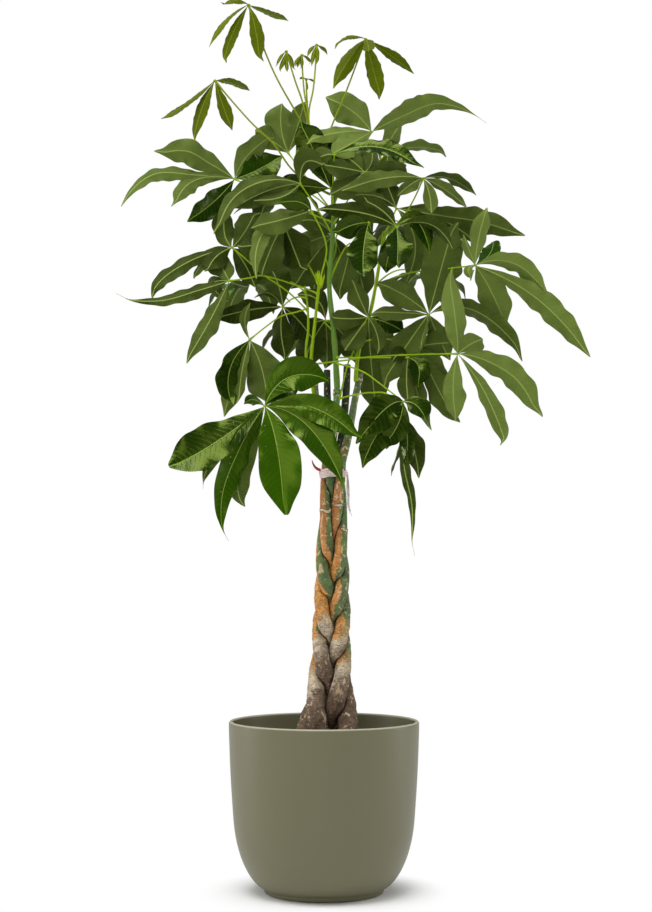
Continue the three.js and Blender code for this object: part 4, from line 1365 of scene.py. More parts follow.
OUTER_LEAVES = [
    # broad leaf hanging left of the stems
    Leaf([-22, 768, -5], [[-34, 764], [-56, 758], [-73, 747]], [-99, 726, -42], [
        blade(-52, 54, 15, -82, 684, -76, 640),
        blade(-62, 15, 40, -106, 752, -98, 776),
        blade(-66, 17, 40, -109, 684, -113, 640),
        blade(-50, 36, 160, -126, 684, -121, 636),
        blade(-12, 28, 15, -116, 676, -135, 622),
    ], tone=0.4),
    Leaf([-22, 764, -5], [[-49, 791], [-83, 815], [-103, 833]], [-123, 850, -4], [
        blade(-40, 24, 30, -170, 836, -212, 811, -231, 784),
        blade(-16, 20, 55, -158, 832, -175, 804),
        blade(16, 32, 15, -134, 872, -130, 905),
        blade(-24, 34, 15, -144, 838, -156, 818),
        blade(26, 36, 20, -106, 872, -92, 900),
        blade(20, 34, 15, -106, 828, -92, 796),
    ]),
    # leaf behind, low at the left
    Leaf([-24, 782, -4], [[-40, 782]], [-55, 770, 12], [
        blade(12, 30, 20, -98, 766, -150, 753),
        blade(4, 34, 20, -57, 735, -50, 700),
        blade(4, 14, 60, -75, 789, -92, 781),
        blade(34, 48, 15, -66, 812, -90, 846),
        blade(20, 30, 15, -34, 752, -12, 722),
    ]),
]

CENTRE_STEMS = [
    Stem([[17.5, 660.5, -9], [13, 735, -8], [7, 800, -5], [12, 875, -2], [11, 952, 0]],
         thick=4, thin=2.6),
]

CENTRE_LEAVES = [
    # pale leaf at the top right
    Leaf([12, 905, -1], [[24, 932], [35, 952], [45, 974]], [64, 1007, -12], [
        blade(2, 43, 10, 37, 1036, 1, 1054),
        blade(-44, 25, 40, 20, 1006, -26, 994),
        blade(-60, 36, 25, 38, 992, 8, 975),
        blade(-14, 32, 30, 104, 1028, 158, 1046, 221, 1018, taper=TAIL),
        blade(40, 28, 55, 104, 1032, 144, 1058),
    ]),
    Leaf([12, 915, -1], [[50, 946]], [85, 978, 34], [
        blade(44, 24, 50, 127, 987, 167, 977),
        blade(58, 27, 20, 90, 998, 107, 1023),
        blade(18, 52, 10, 86, 958, 88, 938),
    ]),
    Leaf([12, 890, -2], [[12, 930], [12, 955]], [14, 976, -76], [
        blade(-104, 27, 140, 74, 986, 131, 955),
        blade(-70, 30, 20, -2, 974, -16, 962),
    ], tone=0.25),
    Leaf([12, 880, -2], [[34, 918]], [54, 952, -48], [
        blade(-46, 36, 20, 34, 970, 10, 982),
        blade(-78, 28, 30, 24, 958, -4, 962),
        blade(-62, 34, 20, 34, 936, 8, 922),
        blade(-30, 26, 30, 64, 968, 62, 992),
        blade(-16, 34, 20, 86, 952, 114, 944),
    ], tone=0.25),
    # big leaf reaching out at the upper left
    Leaf([10, 885, -1], [[-40, 905], [-80, 924]], [-120, 943, 6], [
        blade(-14, 36, 15, -152, 963, -186, 981, -226, 974),
        blade(-28, 23, 40, -172, 948, -231, 948, -273, 903),
        blade(-26, 26, 30, -175, 940, -200, 903),
        blade(26, 32, 20, -102, 976, -68, 1003),
        blade(-34, 32, 165, -149, 911, -184, 886),
        blade(40, 42, 160, -88, 956, -58, 975),
    ]),
    # front leaf arching far to the left
    Leaf([9, 872, -2], [[-8, 900]], [-32, 937, -66], [
        blade(-96, 25, 25, -80, 940, -122, 916, -143, 866),
        blade(-78, 34, 20, -25, 966, 0, 961),
        blade(-76, 20, 30, -58, 918, -95, 915),
        blade(-60, 28, 20, -78, 926, -126, 900),
    ]),
    # leaves behind the top of the shoot
    Leaf([11, 915, -1], [], [9, 930, -26], [
        blade(-30, 44, 172, -12, 978, -34, 1022),
        blade(-14, 28, 165, 6, 968, 2, 1004),
        blade(-30, 34, 160, -32, 934, -66, 936),
    ]),
    Leaf([10, 900, 1], [[-20, 940]], [-48, 978, 34], [
        blade(50, 42, 10, -58, 1014, -56, 1048),
        blade(38, 28, 20, -36, 1014, -26, 1052),
        blade(28, 32, 20, -74, 998, -93, 1010),
    ]),
    # leaves behind the stems
    Leaf([8, 826, -4], [[16, 850]], [12, 866, 44], [
        blade(62, 52, 15, -16, 834, -42, 792),
        blade(56, 38, 20, -18, 858, -54, 836),
        blade(30, 32, 25, -12, 886, -38, 882),
        blade(66, 38, 20, 24, 832, 28, 788),
        blade(70, 34, 20, 4, 834, -4, 784),
    ], tone=0.35),
    Leaf([8, 806, -4], [[26, 846]], [37, 855, 20], [
        blade(32, 42, 20, 30, 826, 18, 780),
        blade(44, 40, 15, 46, 822, 56, 780),
    ], tone=0.4),
    Leaf([12, 752, -8], [], [2, 752, 26], [
        blade(30, 24, 15, -24, 744, -60, 722),
        blade(46, 42, 15, -16, 722, -28, 688),
        blade(52, 38, 20, 4, 722, 4, 686),
        blade(50, 40, 20, 30, 728, 46, 692),
        blade(44, 32, 25, -10, 780, -36, 786),
    ]),
    # light leaf beside the stems
    Leaf([16, 702, -12], [[60, 702]], [112, 702, -30], [
        blade(-54, 25, 15, 110, 672, 113, 640),
        blade(-56, 30, 160, 126, 690, 124, 664),
        blade(-32, 25, 20, 101, 706, 91, 698),
    ]),
    # dark glossy leaf low at the right
    Leaf([16, 694, -11], [[50, 684], [72, 669]], [105, 643, -88], [
        blade(-110, 40, 175, 80, 632, 43, 587),
        blade(-104, 34, 160, 73, 604, 50, 555),
        blade(-92, 32, 165, 98, 612, 77, 583),
        blade(-100, 30, 150, 123, 638, 137, 616),
    ]),
]

LOW_LEAVES = [
    Leaf([20.8, 647, -14.4], [[40, 652], [62, 655], [86, 652]], [107, 622, -66], [
        blade(-78, 14, 25, 106, 562, 117, 500, 113, 437, taper=TAIL),
        blade(-72, 22, 150, 111, 588, 106, 555),
        blade(-50, 13, 70, 98, 576, 86, 545),
        blade(-48, 27, 15, 118, 588, 127, 541),
        blade(-34, 16, 40, 98, 604, 91, 591),
    ]),
    Leaf([20.8, 647, -14.4], [[31, 691], [38, 708], [53, 745]], [59, 756, -3], [
        blade(28, 44, 5, 63, 694, 70, 626),
        blade(-30, 22, 30, 71, 733, 73, 707),
        blade(-10, 26, 160, 86, 748, 106, 736),
        blade(-2, 28, 20, 48, 780, 38, 806),
        blade(-20, 30, 20, 34, 754, 6, 756),
        blade(-18, 34, 15, 42, 732, 27, 711),
    ]),
]

# the big glossy leaf in front, low at the left
FRONT_LEAVES = [
    Leaf([-17.9, 668, -1.7], [[-45, 668]], [-79, 637, -112], [
        blade(-134, 56, 208, -118, 607, -165, 576, -207, 555, taper=ROUND),
        blade(-112, 23, 20, -132, 590, -153, 558, -162, 526, taper=TAIL),
        blade(-128, 36, 160, -110, 585, -135, 518, -130, 454, taper=TAIL),
        blade(-112, 29, 20, -98, 585, -114, 536, -105, 502),
        blade(-142, 54, 175, -62, 580, -53, 490, taper=ROUND),
        blade(-134, 43, 170, -19, 608, 30, 522, taper=LONG),
        blade(-130, 36, 165, -12, 634, 48, 590),
        blade(-104, 46, 165, -46, 676, 8, 672),
        blade(-90, 26, 160, -56, 656, -31, 664),
        blade(-104, 16, 150, -94, 646, -106, 640),
    ], tone=0.38, drops=9),
]

RIGHT_STEMS = [
    Stem([[42.2, 670, -6.4], [48, 720, 2], [62, 764, 9], [72, 816, 4], [80, 872, -4]],
         thick=2.8, thin=2),
]

RIGHT_LEAVES = [
    # leaf reaching furthest right
    Leaf([69, 797, 6], [[110, 815], [160, 821]], [202, 826, -44], [
        blade(-64, 25, 20, 207, 864, 219, 905),
        blade(-14, 20, 50, 194, 846, 187, 866),
        blade(-48, 16, 30, 193, 820, 199, 808),
        blade(-64, 30, 28, 254, 829, 297, 787),
        blade(-86, 32, 18, 264, 796, 313, 755, 355, 700),
        blade(-22, 41, 15, 222, 794, 244, 743),
        blade(24, 26, 150, 222, 842, 226, 862),
    ], tone=0.75),
    # broad leaf in the middle right
    Leaf([61, 759, 9], [[100, 758]], [140, 760, -24], [
        blade(-40, 54, 15, 156, 820, 175, 886),
        blade(-42, 31, 35, 204, 764, 271, 699),
        blade(-18, 37, 20, 106, 786, 70, 803),
        blade(-40, 26, 45, 100, 762, 62, 763),
        blade(-26, 46, 15, 110, 718, 76, 665),
        blade(-8, 32, 20, 152, 732, 168, 698),
        blade(-58, 16, 70, 135, 740, 128, 718),
    ], tone=0.5),
    Leaf([49, 723, 0.5], [[80, 727], [107, 722]], [125, 717, -16], [
        blade(-14, 36, 20, 150, 721, 176, 722),
        blade(-28, 34, 15, 150, 664, 178, 612),
        blade(-4, 30, 20, 146, 690, 158, 658),
        blade(-34, 22, 25, 123, 662, 144, 603),
    ], tone=0.45),
    # wavy leaf at the upper right
    Leaf([78, 862, -3], [[100, 885], [117, 909]], [133, 944, -28], [
        blade(-28, 24, 55, 169, 944, 204, 920),
        blade(-44, 22, 45, 161, 930, 193, 904),
        blade(-38, 20, 15, 142, 920, 143, 895),
        blade(-66, 26, 20, 82, 944, 24, 926),
        blade(-34, 20, 25, 117, 936, 98, 920),
    ], tone=0.5),
    Leaf([77, 845, -1], [[86, 876]], [97, 903, 14], [
        blade(14, 34, 15, 160, 893, 214, 884, 270, 864),
        blade(24, 32, 20, 154, 890, 205, 856),
        blade(26, 36, 20, 122, 858, 109, 803),
        blade(32, 30, 20, 68, 920, 30, 918),
        blade(30, 34, 20, 88, 926, 80, 948),
    ]),
    Leaf([74, 830, 1], [[80, 850], [86, 866]], [97, 878, -64], [
        blade(-80, 26, 25, 54, 896, -12, 903),
        blade(-98, 35, 165, 99, 852, 97, 822),
        blade(-90, 26, 45, 142, 882, 173, 848),
        blade(-72, 28, 160, 124, 886, 142, 841),
        blade(-58, 24, 20, 78, 900, 52, 914),
        blade(-50, 30, 160, 88, 846, 81, 816),
    ], tone=0.15),
    Leaf([74, 822, 2], [[66, 856]], [60, 884, -98], [
        blade(-120, 39, 175, 53, 848, 53, 807),
        blade(-112, 30, 165, 36, 880, 14, 868),
    ]),
]

YOUNG_STEMS = [
    Stem([[11, 952.7, 0], [6, 971, 1], [-5, 985, 3], [-15, 999, 5], [-21, 1016, 5]],
         thick=2.2, thin=1.3),
]

YOUNG_LEAVES = [
    Leaf([-14, 996, 4], [[-39, 1036], [-71, 1096]], [-102, 1181, -30], [
        blade(-88, 14, 60, -119, 1187, -138, 1178),
        blade(-44, 13, 60, -132, 1160, -156, 1122),
        blade(-36, 16, 25, -123, 1142, -136, 1100),
        blade(-30, 19, 15, -92, 1145, -87, 1102),
        blade(26, 15, 55, -77, 1170, -47, 1159),
    ]),
    Leaf([-1, 981, 2], [[4, 998], [15, 1027], [30, 1063]], [56, 1134, -22], [
        blade(-70, 14, 70, 34, 1137, 12, 1123),
        blade(-38, 21, 20, 35, 1108, 11, 1066),
        blade(-34, 23, 15, 66, 1094, 77, 1052),
        blade(10, 17, 40, 91, 1111, 121, 1086),
        blade(-86, 18, 10, 59, 1127, 61, 1116),
    ]),
    Leaf([-20, 1012, 5], [[-30, 1051], [-39, 1077]], [-51, 1117, -2], [
        blade(-12, 5, 30, -59, 1109, -64, 1097),
        blade(-8, 6, 20, -55, 1104, -61, 1089),
        blade(-6, 6, 20, -51, 1102, -49, 1088),
        blade(2, 6, 30, -45, 1106, -41, 1091),
    ]),
    Leaf([-20, 1012, 5], [[-22, 1036], [-27, 1064]], [-30, 1112, 6], [
        blade(-4, 5, 30, -36, 1106, -40, 1096),
        blade(-2, 5, 20, -34, 1104, -36, 1094),
        blade(2, 5, 20, -30, 1104, -30, 1092),
        blade(10, 5, 30, -23, 1108, -17, 1101),
    ]),
    Leaf([-20, 1012, 5], [[-20, 1038], [-14, 1070]], [-10, 1126, 12], [
        blade(8, 6, 30, -18, 1120, -22, 1110),
        blade(6, 6, 20, -14, 1114, -17, 1096),
        blade(10, 6, 20, -9, 1114, -10, 1099),
        blade(22, 6, 40, -2, 1121, 5, 1113),
    ]),
    Leaf([-20, 1012, 5], [[-23, 1050]], [-24, 1079, 16], [
        blade(10, 3, 20, -29, 1081, -34, 1079),
        blade(12, 3, 20, -23, 1071, -22, 1063),
        blade(22, 3, 20, -17, 1078, -11, 1073),
    ]),
]

YOUNG_SIDE_LEAVES = [
    Leaf([8.5, 922, -1.5], [[-39, 952], [-68, 991], [-100, 1022]], [-147, 1077, -42], [
        blade(-70, 15, 60, -184, 1047, -220, 1023),
        blade(-56, 18, 30, -164, 1040, -176, 994),
        blade(-38, 18, 20, -136, 1043, -123, 1009),
        blade(12, 16, 50, -124, 1074, -99, 1062),
    ]),
]

# Leaves on the far side, which the front view hides: root, hub, length of the longest blade
BACK_OUTER = [
    BackLeaf([-25, 790, -4], [-95, 800, 120], 96),
]
BACK_CENTRE = [
    BackLeaf([13, 735, -8], [-28, 742, 102], 90),
    BackLeaf([8, 812, -4], [-6, 838, 130], 100),
    BackLeaf([8, 838, -3], [40, 900, 165], 100),
    BackLeaf([12, 896, -1], [-55, 925, 120], 98),
    BackLeaf([12, 930, 0], [45, 985, 95], 84),
]
BACK_RIGHT = [
    BackLeaf([55, 742, 8], [70, 742, 125], 96),
    BackLeaf([70, 800, 5], [130, 812, 110], 96),
    BackLeaf([78, 862, -3], [105, 880, 120], 94),
]

# Places across a blade from edge to edge, close together beside the rib and at the edges
HALF_ACROSS = [0.07, 0.22, 0.4, 0.6, 0.8, 0.94, 1]
ACROSS = np.array([*(-v for v in reversed(HALF_ACROSS)), 0, *HALF_ACROSS])


@dataclass
class BladeForm:
    """The fine shape of a kind of leaf."""

    thick: float = 0.65
    quilt: float = 0.8  # height of the panels between the side veins
    ruffle: float = 0.13  # height of the short waves of the edges against the half width
    ruffle_length: float = 23.0
    ruffle_start: tuple[float, float] = (5, 0.37)  # in waves: for the blade's start, on the right
    ripple: float = 0.09  # how far the edges go in and out against the half width
    ripple_rate: float = 0.6  # ripples for each ruffle
    ripple_start: tuple[float, float] = (3, 0.45)  # as for the ruffles
    vein_step: float = 7.0  # between two side veins of a long blade
    vein_crowding: tuple[float, float] = (0.45, 160.0)  # least share of it, and mm that add a whole
    vein_slant: float = 0.45  # how far a side vein runs on along the rib as it goes out
    vein_bend: float = 0.012  # how much more it does so near the edge, in 1/mm
    rib_radius: float = 0.62
    curl: float = 3.5  # how far the tips bend up, down or aside
    stalk_radius: float = 1.1
    row_step: float = 2.2
    row_span: tuple[float, float] = (0.015, 0.975)  # place of the first row, and reach of them all
    fewest_rows: int = 10
    most_rows: int = 64

    def rows(self, length: float) -> np.ndarray:
        """Where the rows of a blade lie along its rib, from 0 to 1.

        Args:
            length: Length of the rib in mm.

        Returns:
            The places, evenly spaced, a little inside both ends.
        """
        count = int(np.clip(length / self.row_step, self.fewest_rows, self.most_rows))
        first, reach = self.row_span
        return first + reach * np.linspace(0, 1, count)

    def rib(self, width: float, t: np.ndarray) -> np.ndarray:
        """Radius of a blade's rib, which is thinner on a narrow blade and towards the tip.

        It is radius * (1 - t) ** 0.55 + 0.1, where radius is at most 0.2 + 0.011 * width.

        Args:
            width: Greatest width of the blade.
            t: Where along the rib.

        Returns:
            The radius at each t.
        """
        return min(self.rib_radius, 0.2 + 0.011 * width) * (1 - t) ** 0.55 + 0.1

    def relief(
        self, t: np.ndarray, v: np.ndarray, half: np.ndarray, length: float, start: float
    ) -> tuple[np.ndarray, np.ndarray, np.ndarray]:
        """How a blade rises from its rib's level, how wide it is and where its side veins are.

        The rise is half * (FOLD * |v| ** FOLD_POWER + WAVE * sin(wave) * |v| ** WAVE_POWER), plus
        short ruffles that grow with |v| ** 3, plus panels that swell with sin(pi * vein) ** 2. The
        count of the veins is (along - slant * out - bend * out ** 2) / step, with half a step more
        on the right. The veins stand closer together on a short blade. The edges' short waves
        start elsewhere on each blade and on each of its sides.

        Args:
            t: Where along the rib, from 0 to 1.
            v: Where across the blade, from -1 to 1.
            half: Half the width at each t.
            length: Length of the rib.
            start: Part of a wave at the hub.

        Returns:
            The rise, half the width with its ripples, and the veins' count, for each t and v.
        """
        t = t[:, None]
        side, right = np.abs(v), v > 0
        along, out, swell = t * length, side * half, np.sin(math.pi * t)
        wave = np.sin(FULL_TURN * (WAVES * t + start + v * WAVE_OFFSET))
        rise = half * (FOLD * side**FOLD_POWER + WAVE * wave * side**WAVE_POWER)
        own, more = self.ruffle_start
        ruffle = np.sin(FULL_TURN * (along / self.ruffle_length + own * start + more * right))
        rise = rise + self.ruffle * half * ruffle * side**3 * swell
        own, more = self.ripple_start
        ripple = self.ripple_rate * along / self.ruffle_length + own * start + more * right
        wide = half * (1 + self.ripple * np.sin(FULL_TURN * ripple) * side * swell)
        least, whole = self.vein_crowding
        step = self.vein_step * min(1.0, least + length / whole)
        vein = (along - self.vein_slant * out - self.vein_bend * out**2) / step + 0.5 * right
        panel = np.sin(math.pi * vein) ** 2 * step_up(out, *PANEL_OUT) * (1 - side**3)
        return rise + self.quilt * (panel - 0.5) * step_up(half, *PANEL_HALF), wide, vein


def fullness(t: np.ndarray, taper: float) -> np.ndarray:
    """Half the width along a rib as a share of its greatest: t ** SWELL * (1 - t) ** taper.

    The last tenth is narrowed further, to a drip tip.

    Args:
        t: Where along the rib, from 0 to 1.
        taper: How far the tip is drawn out.

    Returns:
        The share at each t.
    """
    peak = SWELL / (SWELL + taper)
    outline = t**SWELL * (1 - t) ** taper / (peak**SWELL * (1 - peak) ** taper)
    return outline * (1 - NARROWING * taper * step_up(t, *DRIP_TIP))


@dataclass
class LeafyShoot:
    """Stems and leaves that grew together from one place."""

    node: str
    slot: str
    stems: list[Stem]
    leaves: list[Leaf]
    back: list[BackLeaf]
    finishes: list[Finish]
    seed: int
    form: BladeForm = field(default_factory=BladeForm)
    bracts: int = 0  # narrow scales round the tip of the first stem
    bract_radius: float = 1.5
    bract_root: tuple[float, float] = (2, 13)  # below the stem's tip
    bract_lean: tuple[float, float] = (2.5, 5.5)
    bract_rise: tuple[float, float] = (12, 20)
    bract_clear: float = 0.8  # from the stem's middle to its root
    bract_bow: float = 1.4  # outwards at half its height
    drop_radius: tuple[float, float] = (0.5, 1.3)
    drop_stray: float = 0.6  # from the nearest point of the blade's mesh
    skin: Skin = field(default_factory=Skin)
    draw: np.random.Generator = field(init=False)

    def __post_init__(self) -> None:
        """Starts the shoot's own random draws."""
        self.draw = np.random.default_rng(SEED + self.seed)

    def add_blade(
        self, rib: np.ndarray, shape: Blade, upper: np.ndarray, start: float, tone: float
    ) -> np.ndarray:
        """Adds a blade and its rib. The draws set how far its tip bends up and aside.

        At t along the rib and v across it, from -1 to 1, the surface is the rib's place + half *
        v * across + rise * face, with the rise of the blade's form and half its thickness more.
        The face is the way of the upper side, turned about the rib by the roll.

        Args:
            rib: Places along the rib from the hub to the tip.
            shape: Width, roll and taper of the blade.
            upper: The way that a blade with no roll faces with its upper side.
            start: Part of a wave at the hub.
            tone: From 0, deep, to 1, pale.

        Returns:
            Places of the upper side, away from the edges and the ends.
        """
        length = length_of(rib)
        t = self.form.rows(length)
        way = unit(spline(rib, t + RIB_STEP) - spline(rib, t - RIB_STEP))
        level = unit(upper - way * (way @ upper)[:, None])
        roll = math.radians(shape.roll)
        face = level * math.cos(roll) + np.cross(way, level) * math.sin(roll)
        across = np.cross(way, face)
        bend, hook = self.draw.normal(0, self.form.curl, 2)
        centre = spline(rib, t) + across * (hook * step_up(t, HOOK_FROM, 1.0) ** 2)[:, None]
        rib_radius = self.form.rib(shape.width, t)
        half = np.maximum(shape.width / 2 * fullness(t, shape.taper), rib_radius)[:, None]
        # round the section: the upper side from edge to edge, then the underside back again
        v = np.concatenate([ACROSS, ACROSS[-2:0:-1]])
        number = np.arange(len(v))
        rise, wide, vein = self.form.relief(t, v, half, length, start)
        rise = rise + bend * step_up(t, BEND_FROM, 1.0)[:, None] ** 2
        body = self.form.thick / 2 * np.sqrt(1 - v**4) * np.where(number < len(ACROSS), 1, -1)
        rings = centre[:, None] + across[:, None] * (wide * v)[..., None]
        rings = rings + face[:, None] * (rise + body)[..., None]
        strips = np.where(number < len(ACROSS) - 1, Surface.UPPER, Surface.UNDER)
        self.skin.add(rings, strips, vein=vein, across=half * v, tone=tone)
        # the rib stands out below, and ends short of the tip
        ridge = centre - face * (RIB_SUNK * rib_radius)[:, None]
        pick = np.arange(0, max(4, int(len(t) * RIB_SHARE)), 2)
        self.skin.add(tube(ridge[pick], rib_radius[pick], 8), Surface.UNDER, tone=tone)
        return rings[len(t) // 8 : -len(t) // 6, 2 : len(ACROSS) - 2]

    def add_bracts(self, tip: np.ndarray) -> None:
        """Adds the tuft of bracts at a stem's tip. Each leans out as it rises and ends in a point.

        Its radius is radius * sin(pi * (0.2 + 0.78 * t)) at t from 0 to 1. The draws set how long
        each is and how far it leans.

        Args:
            tip: The stem's tip.
        """
        t = np.linspace(0, 1, 12)
        radius = self.bract_radius * np.sin(math.pi * (0.2 + 0.78 * t))
        for turn in angles(self.bracts):
            out = np.array([math.cos(turn), math.sin(turn), 0])
            low = tip + out * self.bract_clear - UP * self.draw.uniform(*self.bract_root)
            lean = out * self.draw.uniform(*self.bract_lean)
            high = low + lean + UP * self.draw.uniform(*self.bract_rise)
            path = spline(np.array([low, (low + high) / 2 + out * self.bract_bow, high]), t)
            self.skin.add(tube(path, radius, 6), Surface.STALK, tone=BRACT_TONE)

    def add_stalk(self, places: np.ndarray) -> None:
        """Adds a leaf stalk, swollen at its root and below its hub, with the hub's small disc.

        Its radius is radius * (1 - STALK_NARROWING * t) * (1 + the two swellings), at t from 0 to 1.

        Args:
            places: Places from its root to its hub.
        """
        tone = self.draw.uniform(*STALK_TONES)
        t = np.linspace(0, 1, 44)
        (root, root_reach), (hub, hub_reach) = ROOT_SWELLING, HUB_SWELLING
        bulge = root * hump(t, root_reach) + hub * hump(1 - t, hub_reach)
        radius = self.form.stalk_radius * (1 - STALK_NARROWING * t) * (1 + bulge)
        self.skin.add(tube(spline(places, t), radius, 10), Surface.STALK, tone=tone)
        disc = ball(places[-1], self.form.stalk_radius * HUB_WIDTH, 10, HUB_SQUASH)
        self.skin.add(disc, Surface.STALK, tone=tone)

    def leaf_tone(self, row: Leaf, hub: np.ndarray) -> float:
        """The tone of a leaf: its own, or one that is painted paler, as light, the farther out the leaf
        is, and deeper, as shade, inside the crown.

        Args:
            row: The leaf.
            hub: The place of its hub.

        Returns:
            The tone.
        """
        if row.tone is not None:
            return row.tone
        aside, above = (hub - CROWN_MIDDLE)[[0, 2]]
        outward = min(1.0, math.hypot(aside, max(0.0, above)) / OUTER_REACH) ** 1.5
        # painted light and shade: the farther out from the crown's middle, the paler the leaf
        return self.draw.uniform(-LEAF_SPREAD, LEAF_SPREAD) + OUTER_PAINTED_LIGHT * outward

    def blade_tone(self, tone: float, shade: float = 0.0) -> float:
        """The tone of a blade: near its leaf's, less any painted shade."""
        return float(np.clip(tone + self.draw.normal(0, BLADE_SPREAD) - shade, 0, 1))

    def add_leaf(self, row: Leaf, starts: itertools.count) -> None:
        """Adds a leaf that the front view shows. The draws scatter its drops of water.

        Args:
            row: The leaf.
            starts: Numbers the blades, which sets where their waves start.
        """
        path = [row.root, *row.via, row.hub]
        depths = np.linspace(row.root[2], row.hub[2], len(path))
        places = seen([[place[0], place[1], depth] for place, depth in zip(path, depths)])
        hub = places[-1]
        tone = self.leaf_tone(row, hub)
        self.add_stalk(places)
        for shape in row.blades:
            count = len(shape.places)
            depths = row.hub[2] + (shape.depth - row.hub[2]) * np.arange(1, count + 1) / count
            rib = np.vstack([hub, seen(np.column_stack([shape.places, depths]))])
            start = next(starts) * GOLDEN % 1
            # painted shade: an upper side that faces the eye is painted darker, but for the wet leaf
            shown = 0.0 if row.drops else max(0.0, -math.cos(math.radians(shape.roll)))
            own = self.blade_tone(tone, UPPER_PAINTED_SHADE * shown)
            upper = self.add_blade(rib, shape, unit(hub - EYE), start, own)
            for _ in range(row.drops):
                spot = upper[self.draw.integers(len(upper)), self.draw.integers(upper.shape[1])]
                spot = spot + self.draw.normal(0, self.drop_stray, 3)
                drop = ball(spot, self.draw.uniform(*self.drop_radius), 8, DROP_SQUASH)
                self.skin.add(drop, Surface.DROP)

    def add_back_leaf(self, row: BackLeaf, starts: itertools.count) -> None:
        """Adds a leaf on the far side.

        Args:
            row: The leaf.
            starts: Numbers the blades, which sets where their waves start.
        """
        self.add_stalk(row.stalk())
        tone = self.draw.uniform(*BACK_TONES)
        for shape in row.fan():
            own = self.blade_tone(tone)
            self.add_blade(shape.places, shape, UP, next(starts) * GOLDEN % 1, own)

    def build(self, starts: itertools.count) -> bpy.types.Object:
        """Makes the shoot: its stems, then its leaves in the order of their rows.

        Args:
            starts: Numbers the blades of the whole plant, which sets where their waves start.

        Returns:
            The shoot.
        """
        for stem in self.stems:
            self.skin.add(stem.rings(), Surface.STEM, tone=STEM_TONE)
        if self.bracts:
            self.add_bracts(seen(self.stems[0].path)[-1])
        for row in self.leaves:
            self.add_leaf(row, starts)
        for row in self.back:
            self.add_back_leaf(row, starts)
        return self.skin.make(f"{self.node}_foliage", self.finishes)


GROWN = [
    LeafFace("grown_leaf_upper_side", "0a2002", "346000", "567c0a", 0.22, 0.14, 0.18,
             shine=0.65, tint="c8e458", thin=0.05),
    LeafFace("grown_leaf_underside", "1b2800", "768940", "9cae5a", 0.5, 0.1, 0.4,
             shine=0.2, tint="dcec80"),
    GreenStem("leaf_stalk", "5f8806", "9cb812"),
    GreenStem("green_shoot_bark", "5c8808", "96b012"),
    Water("water_drop"),
]
# the tall middle shoot has gone a greyer green
MIDDLE = [*GROWN]
MIDDLE[Surface.STEM] = GreenStem("grey_green_shoot_bark", "40681e", "6a8c3e")
YOUNG = [
    LeafFace("young_leaf_upper_side", "2e3c02", "56640a", "6e7a1c", 0.4, 0.3, 0.3, shine=0.3),
    LeafFace("young_leaf_underside", "364202", "5e6a08", "7c8624", 0.5, 0.3, 0.3, shine=0.2),
    GreenStem("young_leaf_stalk", "58680a", "8c9c1c"),
    GreenStem("young_shoot_bark", "566608", "849414"),
]


def all_shoots() -> list[LeafyShoot]:
    """Names and dresses the leafy shoots.

    Returns:
        The shoots in the order in which their blades are numbered.
    """
    young = BladeForm(thick=0.5, quilt=0.25, ruffle=0.05, ruffle_length=9, ripple=0.05, vein_step=4.2,
                      rib_radius=0.45, curl=2.0, stalk_radius=1.25)
    broad = BladeForm(quilt=0.65, ruffle=0.08, ruffle_length=34, ripple=0.03, curl=2.5)
    grown = "grown_leaf"
    return [
        LeafyShoot("leafy_shoot_left", grown, LEFT_STEMS, LEFT_LEAVES, [], GROWN, 1, bracts=11),
        LeafyShoot("leafy_shoot_outer_left", grown, OUTER_STEMS, OUTER_LEAVES, BACK_OUTER, GROWN, 2),
        LeafyShoot("leafy_shoot_centre", grown, CENTRE_STEMS, CENTRE_LEAVES, BACK_CENTRE, MIDDLE, 3),
        LeafyShoot("leafy_shoot_right", grown, RIGHT_STEMS, RIGHT_LEAVES, BACK_RIGHT, GROWN, 4),
        LeafyShoot("leaves_low_right", grown, [], LOW_LEAVES, [], GROWN, 5),
        LeafyShoot("leaf_low_left", grown, [], FRONT_LEAVES, [], GROWN, 6, broad),
        LeafyShoot("young_shoot_top", "young_leaf", YOUNG_STEMS, YOUNG_LEAVES, [], YOUNG, 7, young),
        LeafyShoot("young_leaf_left", "young_leaf", [], YOUNG_SIDE_LEAVES, [], YOUNG, 8, young),
    ]


# Studio


@dataclass(frozen=True)
class WhiteFloor(Finish):
    """White studio floor: matte paint that runs over into plain white light away from the pot."""

    near: float = 0.085  # metres from the pot's axis where the fading starts
    far: float = 0.17

    def shader(self, add: Adder) -> bpy.types.NodeSocket:
        """Adds the nodes.

        Args:
            add: Adds a node to the material.

        Returns:
            The shader's output.
        """
        away = add("VectorMath", {"operation": "LENGTH"}, {0: add("TexCoord", out="Object")})
        fade = add("MapRange", SMOOTHLY, {"Value": away, "From Min": self.near, "From Max": self.far})
        paint = add("BsdfDiffuse", inputs={"Color": "f6f6f6"})
        glow = add("Emission", inputs={"Color": "ffffff", "Strength": 1.0})
        return add("MixShader", inputs={0: fade, 1: paint, 2: glow})


@dataclass
class Lamp:
    """A flat soft lamp that looks at a point on the plant's axis. Metres and watts."""

    name: str
    place: tuple[float, float, float]
    wide: float
    high: float
    power: float
    aim: float = 0.6

    def build(self) -> None:
        """Hangs the lamp."""
        light = bpy.data.lights.new(self.name, "AREA")
        light.shape = "RECTANGLE"
        light.size = self.wide
        light.size_y = self.high
        light.energy = self.power
        lamp = bpy.data.objects.new(self.name, light)
        lamp.location = self.place
        way = Vector((0, 0, self.aim)) - Vector(self.place)
        lamp.rotation_euler = way.to_track_quat("-Z", "Y").to_euler()
        bpy.context.scene.collection.objects.link(lamp)


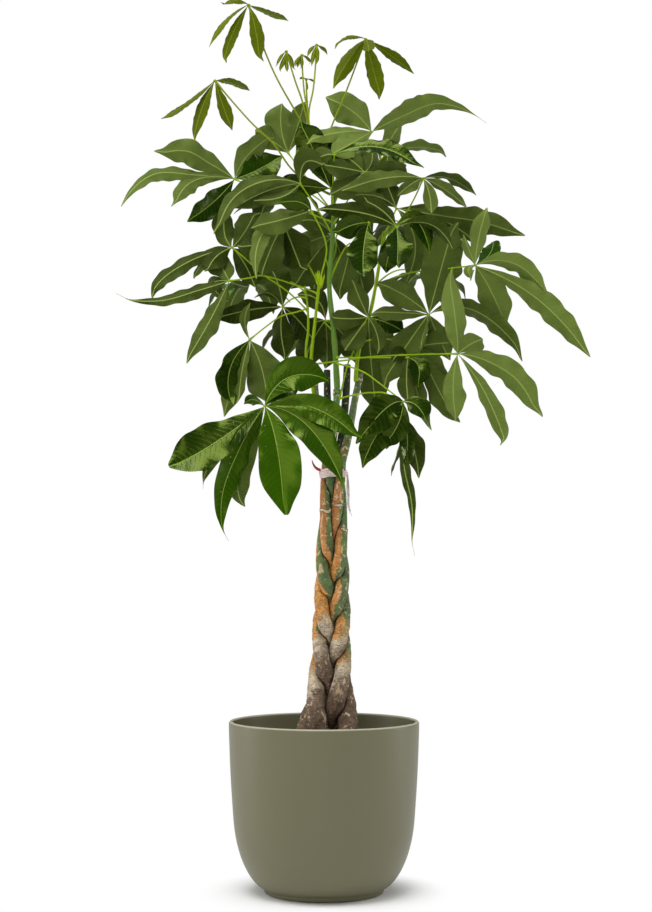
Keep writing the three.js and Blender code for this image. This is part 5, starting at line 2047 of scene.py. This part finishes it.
@dataclass
class Studio:
    """A plain white floor and backdrop, soft lamps and the camera."""

    floor_size: float = 40.0  # metres
    floor_depth: float = 20.0  # mm
    sky: float = 0.25  # brightness of the even light from all round
    lamps: list[Lamp] = field(default_factory=lambda: [
        Lamp("overhead", (-0.4, -0.9, 2.9), 1.6, 1.6, 56.0),
        Lamp("front", (-1.0, -3.2, 1.6), 1.6, 2.0, 24.0),
        Lamp("strip_left", (-1.7, 0.25, 0.7), 0.3, 2.2, 15.0, 0.4),
        Lamp("strip_right", (1.7, 0.25, 0.7), 0.3, 2.2, 15.0, 0.4),
    ])

    def build(self) -> None:
        """Makes the floor, the even light, the lamps and the camera."""
        skin = Skin()
        half = self.floor_size / 2 / MM
        corners = np.array([[-half, -half, 0], [half, -half, 0], [half, half, 0], [-half, half, 0]])
        skin.add(np.stack([corners, corners - self.floor_depth * UP]))
        skin.make("floor", [WhiteFloor("white_floor")])
        self.light_world()
        for lamp in self.lamps:
            lamp.build()
        scene = bpy.context.scene
        scene.view_settings.view_transform = "Standard"
        camera = bpy.data.objects.new("camera", bpy.data.cameras.new("camera"))
        camera.data.sensor_fit = "VERTICAL"
        camera.data.sensor_height = SENSOR
        camera.data.lens = LENS
        camera.location = EYE * MM
        camera.rotation_euler = (math.radians(90 + EYE_TILT), 0, 0)
        scene.collection.objects.link(camera)
        scene.camera = camera

    def light_world(self) -> None:
        """Sets even light from all round, in front of a backdrop that the camera sees as white."""
        world = bpy.data.worlds.new("studio")
        world.use_nodes = True
        world.node_tree.nodes.clear()
        add = partial(add_node, world.node_tree)
        ray = add("LightPath", out="Is Camera Ray")
        strength = add("MapRange", inputs={"Value": ray, "To Min": self.sky, "To Max": 1.0})
        glow = add("Background", inputs={"Color": "ffffff", "Strength": strength})
        add("OutputWorld", inputs={"Surface": glow})
        bpy.context.scene.world = world


def main() -> None:
    """Builds the studio and every piece of the part, in order."""
    logging.basicConfig(level=logging.INFO, format="%(message)s")
    Studio().build()
    place_piece(Pot().build(), "pot_ceramic", "pot")
    place_piece(Soil().build(), "soil", "soil")
    trunks = all_trunks()
    for trunk in trunks:
        slot = "green_bark" if trunk.name == "trunk_centre" else "bark"
        place_piece(trunk.build(trunks), slot, trunk.name)
    place_piece(Tie().build(trunks), "tie_cloth", "tie")
    starts = itertools.count(1)
    for shoot in all_shoots():
        place_piece(shoot.build(starts), shoot.slot, shoot.node)


if __name__ == "__main__":
    main()
